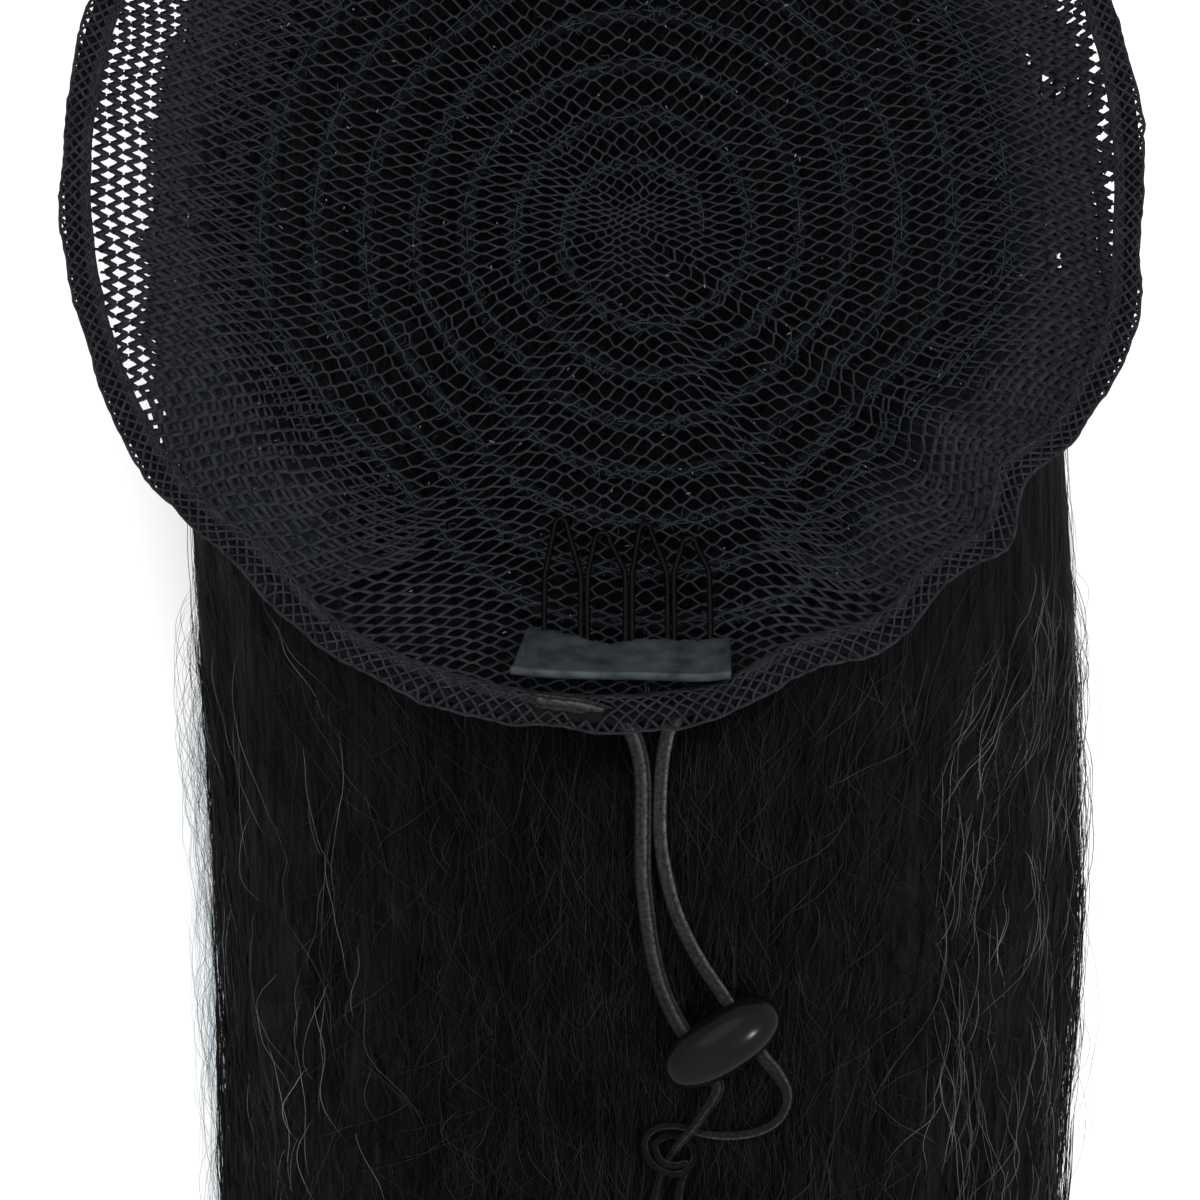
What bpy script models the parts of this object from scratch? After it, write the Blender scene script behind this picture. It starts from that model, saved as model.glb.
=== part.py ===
"""Drawstring ponytail hairpiece, lying on its hair with the opening of its net cap upwards.

The frame is in metres, +Z up. The hair falls towards -Y and rests on z = 0. The origin is under
the middle of the box of the whole piece without its free cords.
"""
import math

import bmesh
import bpy
from mathutils import Vector

MM = 0.001
COLLECTION_NAME = "ponytail_hairpiece"

# Clearances
SEAT_GAP = 0.3 * MM
CORD_GAP = 0.35 * MM

# Cap: a shallow bowl of net, its rim nearly a circle
CAP_CENTRE = Vector((0.0, 150.0 * MM, 0.0))
CAP_RADIUS = 73.8 * MM
BOWL_BOTTOM_Z = 26.0 * MM
RIM_Z = 54.0 * MM
BOWL_POWER = 2.6
NET_THICKNESS = 1.0 * MM

# Waves of the rim: compass angle, half width of the wave (both degrees), outwards and upwards (mm)
RIM_WAVES = (
    (270.0, 60.0, 0.2, -5.0),
    (227.0, 14.0, -2.2, 3.0),
    (293.0, 11.0, -2.3, 1.0),
    (311.0, 8.0, -2.0, 1.5),
    (325.0, 8.0, -3.6, 3.0),
    (345.0, 12.0, 1.2, 1.0),
    (90.0, 50.0, 0.4, 1.5),
)

# Soft folds that run up the bowl: compass angle, half width (degrees), rise at the rim (mm)
BOWL_FOLDS = (
    (222.0, 16.0, 2.4),
    (240.0, 10.0, -1.2),
    (318.0, 14.0, 2.6),
    (333.0, 9.0, -1.4),
    (20.0, 14.0, 1.4),
    (160.0, 14.0, 1.4),
    (105.0, 16.0, 1.6),
    (65.0, 16.0, -1.2),
)
FOLD_START_SHARE = 0.45
FADE_START_SHARE = 0.85
FADE_AT_RIM = 0.5

# Gathers that the elastic draws into the rim
GATHER_COUNT = 9
GATHER_RISE = 0.7 * MM

# Net lattice: radial lines as shares of the cord line's radius
NET_COLUMNS = 36
NET_HUB_SHARE = 0.14
NET_PLAIN_SHARES = (0.30, 0.46, 0.61, 0.74)
NET_MARGIN_SHARES = (0.83, 0.865, 0.90, 0.935, 0.965)
NET_RIB_HALF_WIDTH = 0.75 * MM

# Folded casing round the drawstring
CORD_RADIUS = 1.0 * MM
CASING_STATIONS = 60
CASING_INSET = 3.0 * MM
CASING_SLOPE_DEG = 42.0
CHANNEL_RADIUS = CORD_RADIUS + CORD_GAP
FRINGE_REACH = 3.3 * MM
FRINGE_REACH_LOW = 1.0 * MM
RUFFLE_COUNT = 16
RUFFLE_REACH = 0.45 * MM
RUFFLE_LIFT = 0.22 * MM
LOW_SIDE_DEG = 270.0
LOW_SIDE_HALF_WIDTH_DEG = 70.0

# Outer boundary of the casing in its own plane: along the wall and across it (mm)
CASING_OUTLINE = (
    (-2.6, -0.9),
    (0.0, -2.15),
    (2.0, -0.9),
    (2.0, 0.9),
    (0.0, 2.15),
    (-2.6, 0.9),
)
CASING_TIP_ROWS = (2, 3)
CASING_TIP_THINNING = 0.55
CHANNEL_SIDES = 6

# Compass angles where the rim's cord ends inside the casing, and the strands take over
RIM_CORD_START_DEG = 286.4
RIM_CORD_END_DEG = 262.2
MOUTH_LENGTH = 33.0 * MM

# Sewn weft: a flat strip in a spiral on the outside of the net
WEFT_CENTRE_OFFSET = Vector((5.9 * MM, -4.2 * MM, 0.0))
WEFT_START_RADIUS = 8.0 * MM
WEFT_END_RADIUS = 56.0 * MM
WEFT_PITCH = 7.0 * MM
WEFT_WIDTH = 2.8 * MM
WEFT_THICKNESS = 1.1 * MM
WEFT_STEP = 10.0 * MM
WEFT_SEAT = 0.95 * MM
WEFT_END_TRIM_DEG = 40.0

# Where the rows of weft are drawn inwards: compass angle, half width (degrees), share of the radius
WEFT_DENTS = (
    (222.0, 34.0, 0.10),
    (318.0, 34.0, 0.11),
)

# Hair: y from the cap's centre, left and right edge, crest height, waist height (mm), fullness
HAIR_SECTIONS = (
    (64.0, -16.0, 20.0, 20.0, 7.0, 2.0),
    (60.0, -27.0, 31.0, 28.0, 8.5, 2.2),
    (52.0, -39.0, 44.0, 37.0, 10.0, 2.6),
    (38.0, -50.0, 55.0, 43.0, 11.0, 3.0),
    (18.0, -58.0, 63.0, 45.0, 12.0, 3.4),
    (0.0, -60.0, 65.0, 45.0, 12.0, 3.4),
    (-35.0, -60.0, 67.0, 45.0, 12.0, 3.2),
    (-70.0, -57.5, 69.0, 43.5, 12.0, 2.8),
    (-100.0, -56.0, 68.5, 40.5, 11.0, 2.6),
    (-142.0, -54.0, 66.5, 36.0, 10.0, 2.5),
    (-200.0, -50.0, 61.0, 30.0, 9.0, 2.4),
    (-270.0, -43.0, 52.0, 22.0, 7.0, 2.3),
    (-325.0, -34.0, 42.0, 13.0, 4.5, 2.2),
    (-350.0, -27.0, 35.0, 8.5, 3.0, 2.0),
    (-374.0, -18.0, 26.0, 4.0, 1.8, 2.0),
)
HAIR_STATIONS_MM = (
    64.0, 60.0, 52.0, 42.0, 31.0, 20.0, 9.0, -2.0, -13.0, -24.0, -35.0, -46.0, -57.0, -68.0,
    -80.0, -98.0, -120.0, -150.0, -190.0, -235.0, -280.0, -312.0, -334.0,
)
HAIR_TOP_POINTS = 13
HAIR_FLOOR_ANGLE_DEG = 50.0
HAIR_LOW_ANGLE_DEG = 24.0
HAIR_SEAT = 2.5 * MM
NET_WALL_ALLOWANCE = 1.7 * MM
RIM_BAND = 3.0 * MM
RIM_HAIR_DROP = 1.6 * MM

# Locks: root x and y, tip x and y from the cap's centre, width, thickness, rise above the body (mm)
HAIR_LOCKS = (
    (-47.0, -52.0, -42.0, -205.0, 14.0, 8.0, 1.4),
    (-32.0, -78.0, -36.0, -262.0, 16.0, 7.0, 1.2),
    (-16.0, -84.0, -19.0, -236.0, 15.0, 7.0, 1.0),
    (43.0, -80.0, 38.0, -250.0, 16.0, 7.0, 1.2),
    (57.0, -48.0, 50.0, -222.0, 14.0, 8.0, 1.3),
    (-4.0, -158.0, -6.0, -318.0, 17.0, 8.0, 1.2),
    (20.0, -162.0, 16.0, -330.0, 17.0, 8.0, 1.3),
    (-38.0, -222.0, -27.0, -352.0, 16.0, 9.0, 1.2),
    (-28.0, -248.0, -16.0, -367.0, 17.0, 9.0, 1.0),
    (-13.0, -240.0, -7.0, -361.0, 17.0, 9.0, 1.2),
    (0.0, -262.0, 3.0, -374.0, 18.0, 9.0, 1.2),
    (15.0, -244.0, 14.0, -364.0, 17.0, 9.0, 1.1),
    (31.0, -255.0, 25.0, -370.0, 17.0, 9.0, 1.0),
    (43.0, -228.0, 34.0, -350.0, 16.0, 9.0, 1.2),
)
LOCK_STATIONS = 8
LOCK_SIDES = 7
LOCK_ROOT_SHARE = 0.4
LOCK_GROWTH = 2.4
LOCK_TIP_SHARE = 0.10
LOCK_TAPER_POWER = 2.6
LOCK_BOW = 1.5 * MM
LOCK_SINK = 0.3 * MM
LOCK_FLOOR_GAP = 0.6 * MM

# Comb: one wire bent into four teeth that lie on the inner side of the net
COMB_WIRE_RADIUS = 0.45 * MM
COMB_PAIR_SPACING = 1.3 * MM
COMB_FOOT_Y = 85.0 * MM
COMB_LEG_TOP_Y = 98.2 * MM
COMB_FOOT_Z = 47.2 * MM
COMB_SLOPE_DEG = 33.3
COMB_MIDDLE_X = 0.5 * MM
COMB_HALF_WIDTH = 13.0 * MM
COMB_CUP = 1.9 * MM
FOOT_BOW = 1.4 * MM
FOOT_TURN_DEPTH = 0.52 * MM
LEG_BEND_BELOW = 1.6 * MM
LEG_BEND_ABOVE = 0.6 * MM
LEG_LEAN_SHARE = 0.12
TIP_SHOULDER_DROP = 1.5 * MM
TIP_CORNER_DROP = 0.5 * MM
TIP_CORNER_SHARE = 0.72

# Teeth: x of the left and right leg at the foot, x and y of the tip, width of the tip (mm)
COMB_TEETH = (
    (-8.4, -3.6, -6.2, 105.6, 1.9),
    (-2.3, 2.6, -0.4, 103.6, 2.3),
    (3.9, 8.4, 5.6, 104.8, 1.9),
    (9.7, 14.4, 11.7, 102.8, 2.3),
)

# Felt tape folded over the comb's foot
TAPE_LEFT_X = -12.8 * MM
TAPE_RIGHT_X = 16.6 * MM
TAPE_LENGTH_ALONG = 6.6 * MM
TAPE_LAYER = 0.9 * MM
TAPE_EDGE_WAVE = 0.56 * MM
TAPE_FACE_WAVE = 0.1 * MM
TAPE_WAVE_TURNS = 1.6
TAPE_WAVE_START = 0.1
TAPE_BACK_SHORTER = 1.2 * MM
TAPE_STATIONS = 11
TAPE_FOLD_ROOM = 0.25 * MM
TAPE_FOLD_CORNER = 0.55

# Toggle: a bean with two holes, lying across the strands
TOGGLE_CENTRE = Vector((16.5 * MM, 32.7 * MM, 43.6 * MM))
TOGGLE_HALF_LENGTH = 9.2 * MM
TOGGLE_HALF_WIDTH = 4.5 * MM
TOGGLE_HALF_HEIGHT = 4.0 * MM
TOGGLE_TURN_DEG = 33.0
TOGGLE_HOLE_SPACING = 7.2 * MM
TOGGLE_HOLE_RADIUS = CORD_RADIUS + CORD_GAP
TOGGLE_FULLNESS = 2.5
TOGGLE_HOLE_SIDES = 12

# Routes of the free strands, chosen by hand along the photo's curves: x, y, z in mm
LEFT_ROUTE = (
    (-9.1, 79.7, 49.1),
    (-5.8, 79.3, 48.9),
    (-2.4, 79.0, 48.7),
    (0.6, 77.9, 48.4),
    (3.0, 75.7, 47.2),
    (4.5, 72.4, 45.6),
    (5.1, 68.4, 44.2),
    (5.2, 62.0, 43.2),
    (5.6, 56.0, 42.4),
    (6.2, 50.0, 41.9),
    (7.0, 44.8, 42.0),
    (8.3, 40.0, 42.7),
    (10.5, 35.3, 43.5),
    (13.5, 30.7, 43.6),
    (15.9, 27.0, 43.5),
    (16.6, 24.3, 42.2),
    (15.2, 22.4, 40.4),
    (12.6, 21.2, 39.3),
)
RIGHT_ROUTE = (
    (19.2, 82.6, 50.4),
    (16.3, 81.3, 49.9),
    (13.2, 80.2, 49.4),
    (10.7, 78.6, 48.8),
    (9.2, 76.2, 47.6),
    (8.4, 72.6, 45.8),
    (8.0, 68.4, 44.2),
    (7.9, 62.0, 43.2),
    (8.5, 57.0, 42.5),
    (9.8, 51.6, 42.1),
    (11.6, 47.2, 42.2),
    (13.8, 43.3, 42.8),
    (16.5, 39.3, 43.5),
    (19.5, 34.7, 43.6),
    (21.9, 31.0, 43.5),
    (24.3, 28.0, 42.3),
    (25.6, 25.0, 40.5),
    (24.6, 21.8, 39.0),
    (21.6, 19.9, 38.5),
    (17.6, 19.3, 38.6),
    (13.9, 18.9, 38.9),
)
LEFT_TAIL_ROUTE = (
    (7.7, 12.9, 38.4),
    (7.1, 9.6, 37.7),
    (6.2, 6.0, 37.3),
    (5.9, 2.6, 36.9),
    (6.4, -0.8, 36.5),
)
RIGHT_TAIL_ROUTE = (
    (10.6, 12.9, 38.4),
    (10.5, 9.6, 37.7),
    (11.4, 6.2, 37.3),
    (12.6, 3.2, 37.0),
    (13.2, 0.2, 36.6),
)
ROUTE_STEP = 4.6 * MM
CURVE_PIECES = 24

# Knot: a closed overhand form
KNOT_CENTRE = Vector((9.1 * MM, 17.5 * MM, 39.4 * MM))
KNOT_SCALE = 1.15 * MM
KNOT_WIRE_RADIUS = 0.8 * MM
KNOT_POINTS = 24

# Materials: linear colour, roughness, metallic
MATERIALS = {
    "net_thread": ((0.016, 0.022, 0.023, 1.0), 0.85, 0.0),
    "elastic_cord": ((0.055, 0.057, 0.055, 1.0), 0.6, 0.0),
    "black_plastic": ((0.008, 0.008, 0.010, 1.0), 0.22, 0.0),
    "comb_wire": ((0.007, 0.006, 0.006, 1.0), 0.4, 0.3),
    "felt_tape": ((0.040, 0.052, 0.056, 1.0), 0.95, 0.0),
    "weft_thread": ((0.012, 0.013, 0.015, 1.0), 0.9, 0.0),
    "hair_fibre": ((0.006, 0.0055, 0.005, 1.0), 0.5, 0.0),
}


def wave(angle_deg, centre_deg, half_width_deg):
    """A smooth wave: 1 at its centre, 0 past its half width."""
    away = (angle_deg - centre_deg + 180.0) % 360.0 - 180.0
    if abs(away) >= half_width_deg:
        return 0.0
    return 0.5 * (1.0 + math.cos(math.pi * away / half_width_deg))


def rim_radius(angle_deg):
    """Radius of the cap's outline at a compass angle about the cap's centre."""
    outwards = sum(out * wave(angle_deg, centre, half) for centre, half, out, up in RIM_WAVES)
    return CAP_RADIUS + outwards * MM


def rim_height(angle_deg):
    upwards = sum(up * wave(angle_deg, centre, half) for centre, half, out, up in RIM_WAVES)
    return RIM_Z + upwards * MM


def cord_line_radius(angle_deg):
    """Radius of the line that the drawstring follows in the casing."""
    return rim_radius(angle_deg) - CASING_INSET


def bowl_height(angle_deg, radius):
    """Height of the net's inner side, at a compass angle and a radius about the cap's centre."""
    share = radius / cord_line_radius(angle_deg)
    depth = rim_height(angle_deg) - BOWL_BOTTOM_Z
    height = BOWL_BOTTOM_Z + depth * share ** BOWL_POWER
    if share > FOLD_START_SHARE:
        growth = (share - FOLD_START_SHARE) / (1.0 - FOLD_START_SHARE)
        fade = 1.0 - FADE_AT_RIM * max(0.0, share - FADE_START_SHARE) / (1.0 - FADE_START_SHARE)
        rise = sum(up * wave(angle_deg, centre, half) for centre, half, up in BOWL_FOLDS)
        height += rise * MM * growth * max(0.0, fade)
        gather = math.sin(math.radians(angle_deg) * GATHER_COUNT)
        height += GATHER_RISE * growth * growth * gather * max(0.0, fade)
    return height


def bowl_height_at(x, y):
    """Height of the net's inner side over a world point."""
    dx = x - CAP_CENTRE.x
    dy = y - CAP_CENTRE.y
    return bowl_height(math.degrees(math.atan2(dy, dx)), math.hypot(dx, dy))


def around_cap(angle_deg, radius, height):
    angle = math.radians(angle_deg)
    return Vector((
        CAP_CENTRE.x + radius * math.cos(angle),
        CAP_CENTRE.y + radius * math.sin(angle),
        height,
    ))


def smooth_curve(points, step):
    """Points a step apart along a Catmull-Rom curve through the given points."""
    knots = [Vector(point) for point in points]
    padded = [2.0 * knots[0] - knots[1]] + knots + [2.0 * knots[-1] - knots[-2]]
    fine = []
    for index in range(1, len(padded) - 2):
        before, start, end, after = padded[index - 1:index + 3]
        for piece in range(CURVE_PIECES):
            t = piece / CURVE_PIECES
            fine.append(0.5 * (
                2.0 * start
                + (end - before) * t
                + (2.0 * before - 5.0 * start + 4.0 * end - after) * t ** 2
                + (3.0 * start - before - 3.0 * end + after) * t ** 3
            ))
    fine.append(knots[-1])
    lengths = [0.0]
    for first, second in zip(fine, fine[1:]):
        lengths.append(lengths[-1] + (second - first).length)
    count = max(2, round(lengths[-1] / step))
    result = []
    cursor = 0
    for index in range(count + 1):
        target = lengths[-1] * index / count
        while cursor < len(lengths) - 2 and lengths[cursor + 1] < target:
            cursor += 1
        span = lengths[cursor + 1] - lengths[cursor]
        share = (target - lengths[cursor]) / span if span else 0.0
        result.append(fine[cursor].lerp(fine[cursor + 1], share))
    return result


def make_material(name):
    colour, roughness, metallic = MATERIALS[name]
    material = bpy.data.materials.get(name) or bpy.data.materials.new(name)
    material.use_nodes = True
    shader = material.node_tree.nodes["Principled BSDF"]
    shader.inputs["Base Color"].default_value = colour
    shader.inputs["Roughness"].default_value = roughness
    shader.inputs["Metallic"].default_value = metallic
    material.diffuse_color = colour
    return material


def add_object(name, data, material_name, collection):
    result = bpy.data.objects.new(name, data)
    data.materials.append(make_material(material_name))
    collection.objects.link(result)
    return result


def add_mesh(name, mesh_builder, material_name, collection, smooth_angle_deg=40.0):
    """Turn a bmesh into a named object with outward faces."""
    bmesh.ops.recalc_face_normals(mesh_builder, faces=mesh_builder.faces)
    mesh = bpy.data.meshes.new(name)
    mesh_builder.to_mesh(mesh)
    mesh_builder.free()
    mesh.shade_smooth()
    mesh.set_sharp_from_angle(angle=math.radians(smooth_angle_deg))
    return add_object(name, mesh, material_name, collection)


def loft(rings, closed_rings=False):
    """Skin a list of rings of points; the ends are capped unless the rings close on themselves."""
    builder = bmesh.new()
    rows = [[builder.verts.new(point) for point in ring] for ring in rings]
    sides = len(rows[0])
    last = len(rows) if closed_rings else len(rows) - 1
    for index in range(last):
        row = rows[index]
        following = rows[(index + 1) % len(rows)]
        for side in range(sides):
            beside = (side + 1) % sides
            builder.faces.new((row[side], row[beside], following[beside], following[side]))
    if not closed_rings:
        builder.faces.new(rows[0])
        builder.faces.new(rows[-1])
    return builder


def add_cord(name, points, radius, material_name, collection, resolution=2, cyclic=False):
    """A round cord: a curve with a bevel and filled caps."""
    curve = bpy.data.curves.new(name, "CURVE")
    curve.dimensions = "3D"
    curve.bevel_depth = radius
    curve.bevel_resolution = resolution
    curve.use_fill_caps = True
    spline = curve.splines.new("POLY")
    spline.points.add(len(points) - 1)
    for spline_point, point in zip(spline.points, points):
        spline_point.co = (*point, 1.0)
    spline.use_cyclic_u = cyclic
    return add_object(name, curve, material_name, collection)


def mesh_from_curve(source, name, collection):
    """Replace a curve object with a mesh object whose caps are welded."""
    depsgraph = bpy.context.evaluated_depsgraph_get()
    mesh = bpy.data.meshes.new_from_object(source.evaluated_get(depsgraph))
    mesh.name = name
    builder = bmesh.new()
    builder.from_mesh(mesh)
    bmesh.ops.remove_doubles(builder, verts=builder.verts, dist=1e-6)
    bmesh.ops.recalc_face_normals(builder, faces=builder.faces)
    builder.to_mesh(mesh)
    builder.free()
    result = bpy.data.objects.new(name, mesh)
    result.matrix_world = source.matrix_world
    bpy.data.objects.remove(source)
    collection.objects.link(result)
    return result


def combine(target, other, operation):
    modifier = target.modifiers.new(f"{operation.lower()}_{other.name}", "BOOLEAN")
    modifier.operation = operation
    modifier.solver = "EXACT"
    modifier.object = other


def millimetres(route):
    return [Vector(point) * MM for point in route]


def build_cap_net(collection):
    """The net bowl: a plain backed middle and a margin cut through in diamond gaps."""
    builder = bmesh.new()
    step_deg = 360.0 / NET_COLUMNS
    shares = (NET_HUB_SHARE,) + NET_PLAIN_SHARES + NET_MARGIN_SHARES
    first_margin = 1 + len(NET_PLAIN_SHARES)
    lines = []
    for index, share in enumerate(shares):
        staggered = index > first_margin and (index - first_margin) % 2 == 1
        offset = 0.5 if staggered else 0.0
        line = []
        for column in range(NET_COLUMNS):
            angle_deg = (column + offset) * step_deg
            radius = share * cord_line_radius(angle_deg)
            line.append(builder.verts.new(around_cap(angle_deg, radius, bowl_height(angle_deg, radius))))
        lines.append(line)
    builder.faces.new(lines[0])
    for index in range(first_margin):
        inner = lines[index]
        outer = lines[index + 1]
        for column in range(NET_COLUMNS):
            beside = (column + 1) % NET_COLUMNS
            builder.faces.new((inner[column], outer[column], outer[beside], inner[beside]))
    margin = lines[first_margin:]
    diamonds = []
    for row in range(1, len(margin) - 1):
        for column in range(NET_COLUMNS):
            beside = (column + 1) % NET_COLUMNS
            tip = beside if row % 2 == 1 else column
            diamonds.append(builder.faces.new((
                margin[row - 1][tip], margin[row][beside], margin[row + 1][tip], margin[row][column],
            )))
    for column in range(NET_COLUMNS):
        beside = (column + 1) % NET_COLUMNS
        builder.faces.new((margin[0][column], margin[1][column], margin[0][beside]))
        builder.faces.new((margin[-1][column], margin[-1][beside], margin[-2][column]))
    bmesh.ops.recalc_face_normals(builder, faces=builder.faces)
    bmesh.ops.inset_individual(
        builder, faces=diamonds, thickness=NET_RIB_HALF_WIDTH, use_even_offset=True,
    )
    bmesh.ops.delete(builder, geom=diamonds, context="FACES")
    mesh = bpy.data.meshes.new("cap_net")
    builder.to_mesh(mesh)
    builder.free()
    net = add_object("cap_net", mesh, "net_thread", collection)
    wall = net.modifiers.new("net_wall", "SOLIDIFY")
    wall.thickness = NET_THICKNESS
    upwards = sum(face.normal.z * face.area for face in mesh.polygons)
    wall.offset = -1.0 if upwards > 0.0 else 1.0
    return net


def casing_centre(angle_deg):
    """Centre of the cord's channel at a compass angle."""
    radius = cord_line_radius(angle_deg)
    return around_cap(angle_deg, radius, bowl_height(angle_deg, radius))


def channel_point(angle_deg):
    """A point on the straight lines between the channel's stations."""
    place = angle_deg / 360.0 * CASING_STATIONS
    before = math.floor(place)
    start = casing_centre(before * 360.0 / CASING_STATIONS)
    end = casing_centre((before + 1) * 360.0 / CASING_STATIONS)
    return start.lerp(end, place - before)


def casing_ring(angle_deg, hole):
    """One section of the casing: its outer boundary, or the boundary of its channel."""
    slope = math.radians(CASING_SLOPE_DEG)
    compass = math.radians(angle_deg)
    outwards = Vector((math.cos(compass), math.sin(compass), 0.0))
    up = Vector((0.0, 0.0, 1.0))
    along = outwards * math.cos(slope) + up * math.sin(slope)
    across = up * math.cos(slope) - outwards * math.sin(slope)
    centre = casing_centre(angle_deg)
    points = []
    if hole:
        reach = CHANNEL_RADIUS / math.cos(math.pi / CHANNEL_SIDES)
        for side in range(CHANNEL_SIDES):
            turn = 2.0 * math.pi * (side + 0.5) / CHANNEL_SIDES
            points.append(centre + along * reach * math.cos(turn) + across * reach * math.sin(turn))
        return points
    low = wave(angle_deg, LOW_SIDE_DEG, LOW_SIDE_HALF_WIDTH_DEG)
    ruffle = math.sin(math.radians(angle_deg) * RUFFLE_COUNT)
    reach = FRINGE_REACH + FRINGE_REACH_LOW * low + RUFFLE_REACH * ruffle
    for row, (t, n) in enumerate(CASING_OUTLINE):
        t_reach = t * MM
        n_reach = n * MM
        if row in CASING_TIP_ROWS:
            t_reach = reach
            n_reach = CASING_TIP_THINNING * n * MM + RUFFLE_LIFT * ruffle
        points.append(centre + along * t_reach + across * n_reach)
    return points


def build_rim_casing(collection, cutters):
    """The folded hem: a ring with the cord's channel in it, and mouths where the strands leave."""
    angles = [360.0 * index / CASING_STATIONS for index in range(CASING_STATIONS)]
    outer = loft([casing_ring(angle, False) for angle in angles], closed_rings=True)
    casing = add_mesh("rim_casing", outer, "net_thread", collection)
    inner = loft([casing_ring(angle, True) for angle in angles], closed_rings=True)
    channel = add_mesh("channel_cutter", inner, "net_thread", cutters)
    combine(casing, channel, "DIFFERENCE")
    for name, route in (("left_mouth", LEFT_ROUTE), ("right_mouth", RIGHT_ROUTE)):
        points = smooth_curve(millimetres(route), ROUTE_STEP)[:round(MOUTH_LENGTH / ROUTE_STEP)]
        points[0] += (points[0] - points[1]).normalized() * CORD_RADIUS
        tube = add_cord(name, points, CORD_RADIUS + CORD_GAP, "net_thread", cutters)
        mouth = mesh_from_curve(tube, f"{name}_cutter", cutters)
        combine(casing, mouth, "DIFFERENCE")
    return casing


def build_drawstring(collection):
    """The elastic: round the rim inside the casing, and its two free strands and tails."""
    step_deg = 360.0 / CASING_STATIONS
    end_deg = RIM_CORD_END_DEG + 360.0
    first = math.ceil(RIM_CORD_START_DEG / step_deg)
    last = math.floor(end_deg / step_deg)
    angles = [RIM_CORD_START_DEG, *(step_deg * index for index in range(first, last + 1)), end_deg]
    rim_points = [channel_point(angle) for angle in angles]
    add_cord("drawstring_rim", rim_points, CORD_RADIUS, "elastic_cord", collection)
    for name, route in (
        ("drawstring_left", LEFT_ROUTE),
        ("drawstring_right", RIGHT_ROUTE),
        ("cord_tail_left", LEFT_TAIL_ROUTE),
        ("cord_tail_right", RIGHT_TAIL_ROUTE),
    ):
        points = smooth_curve(millimetres(route), ROUTE_STEP)
        add_cord(name, points, CORD_RADIUS, "elastic_cord", collection)


def build_knot(collection):
    """A tight overhand knot as one closed cord."""
    points = []
    for index in range(KNOT_POINTS):
        t = 2.0 * math.pi * index / KNOT_POINTS
        points.append(KNOT_CENTRE + KNOT_SCALE * Vector((
            math.sin(t) + 2.0 * math.sin(2.0 * t),
            math.cos(t) - 2.0 * math.cos(2.0 * t),
            -math.sin(3.0 * t),
        )))
    add_cord("cord_knot", points, KNOT_WIRE_RADIUS, "elastic_cord", collection, cyclic=True)


def build_toggle(collection, cutters):
    """A bean shaped stop with two holes across it."""
    bpy.ops.mesh.primitive_uv_sphere_add(segments=16, ring_count=9, radius=1.0)
    toggle = bpy.context.object
    toggle.name = "toggle"
    for owner in toggle.users_collection:
        owner.objects.unlink(toggle)
    collection.objects.link(toggle)
    for vertex in toggle.data.vertices:
        direction = vertex.co.normalized()
        total = sum(abs(value) ** TOGGLE_FULLNESS for value in direction)
        direction *= total ** (-1.0 / TOGGLE_FULLNESS)
        vertex.co = Vector((
            direction.z * TOGGLE_HALF_LENGTH,
            direction.x * TOGGLE_HALF_WIDTH,
            direction.y * TOGGLE_HALF_HEIGHT,
        ))
    toggle.data.shade_smooth()
    toggle.data.materials.append(make_material("black_plastic"))
    toggle.location = TOGGLE_CENTRE
    toggle.rotation_euler.z = math.radians(TOGGLE_TURN_DEG)
    for name, side in (("left_hole", -1.0), ("right_hole", 1.0)):
        bpy.ops.mesh.primitive_cylinder_add(
            vertices=TOGGLE_HOLE_SIDES,
            radius=TOGGLE_HOLE_RADIUS / math.cos(math.pi / TOGGLE_HOLE_SIDES),
            depth=4.0 * TOGGLE_HALF_WIDTH,
        )
        cutter = bpy.context.object
        cutter.name = name
        for owner in cutter.users_collection:
            owner.objects.unlink(cutter)
        cutters.objects.link(cutter)
        along = Vector((1.0, 0.0, 0.0))
        along.rotate(toggle.rotation_euler)
        cutter.location = TOGGLE_CENTRE + along * side * 0.5 * TOGGLE_HOLE_SPACING
        cutter.rotation_euler = (math.radians(90.0), 0.0, math.radians(TOGGLE_TURN_DEG))
        combine(toggle, cutter, "DIFFERENCE")


def comb_height(x, y):
    """The comb leans on the slope of the net and is cupped a little to fit a head."""
    cup = COMB_CUP * ((x - COMB_MIDDLE_X) / COMB_HALF_WIDTH) ** 2
    return COMB_FOOT_Z + cup - (y - COMB_FOOT_Y) * math.tan(math.radians(COMB_SLOPE_DEG))


def foot_line(x):
    """The comb's foot and its tape follow the curve of the rim."""
    return COMB_FOOT_Y + FOOT_BOW * ((x - COMB_MIDDLE_X) / COMB_HALF_WIDTH) ** 2


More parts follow.
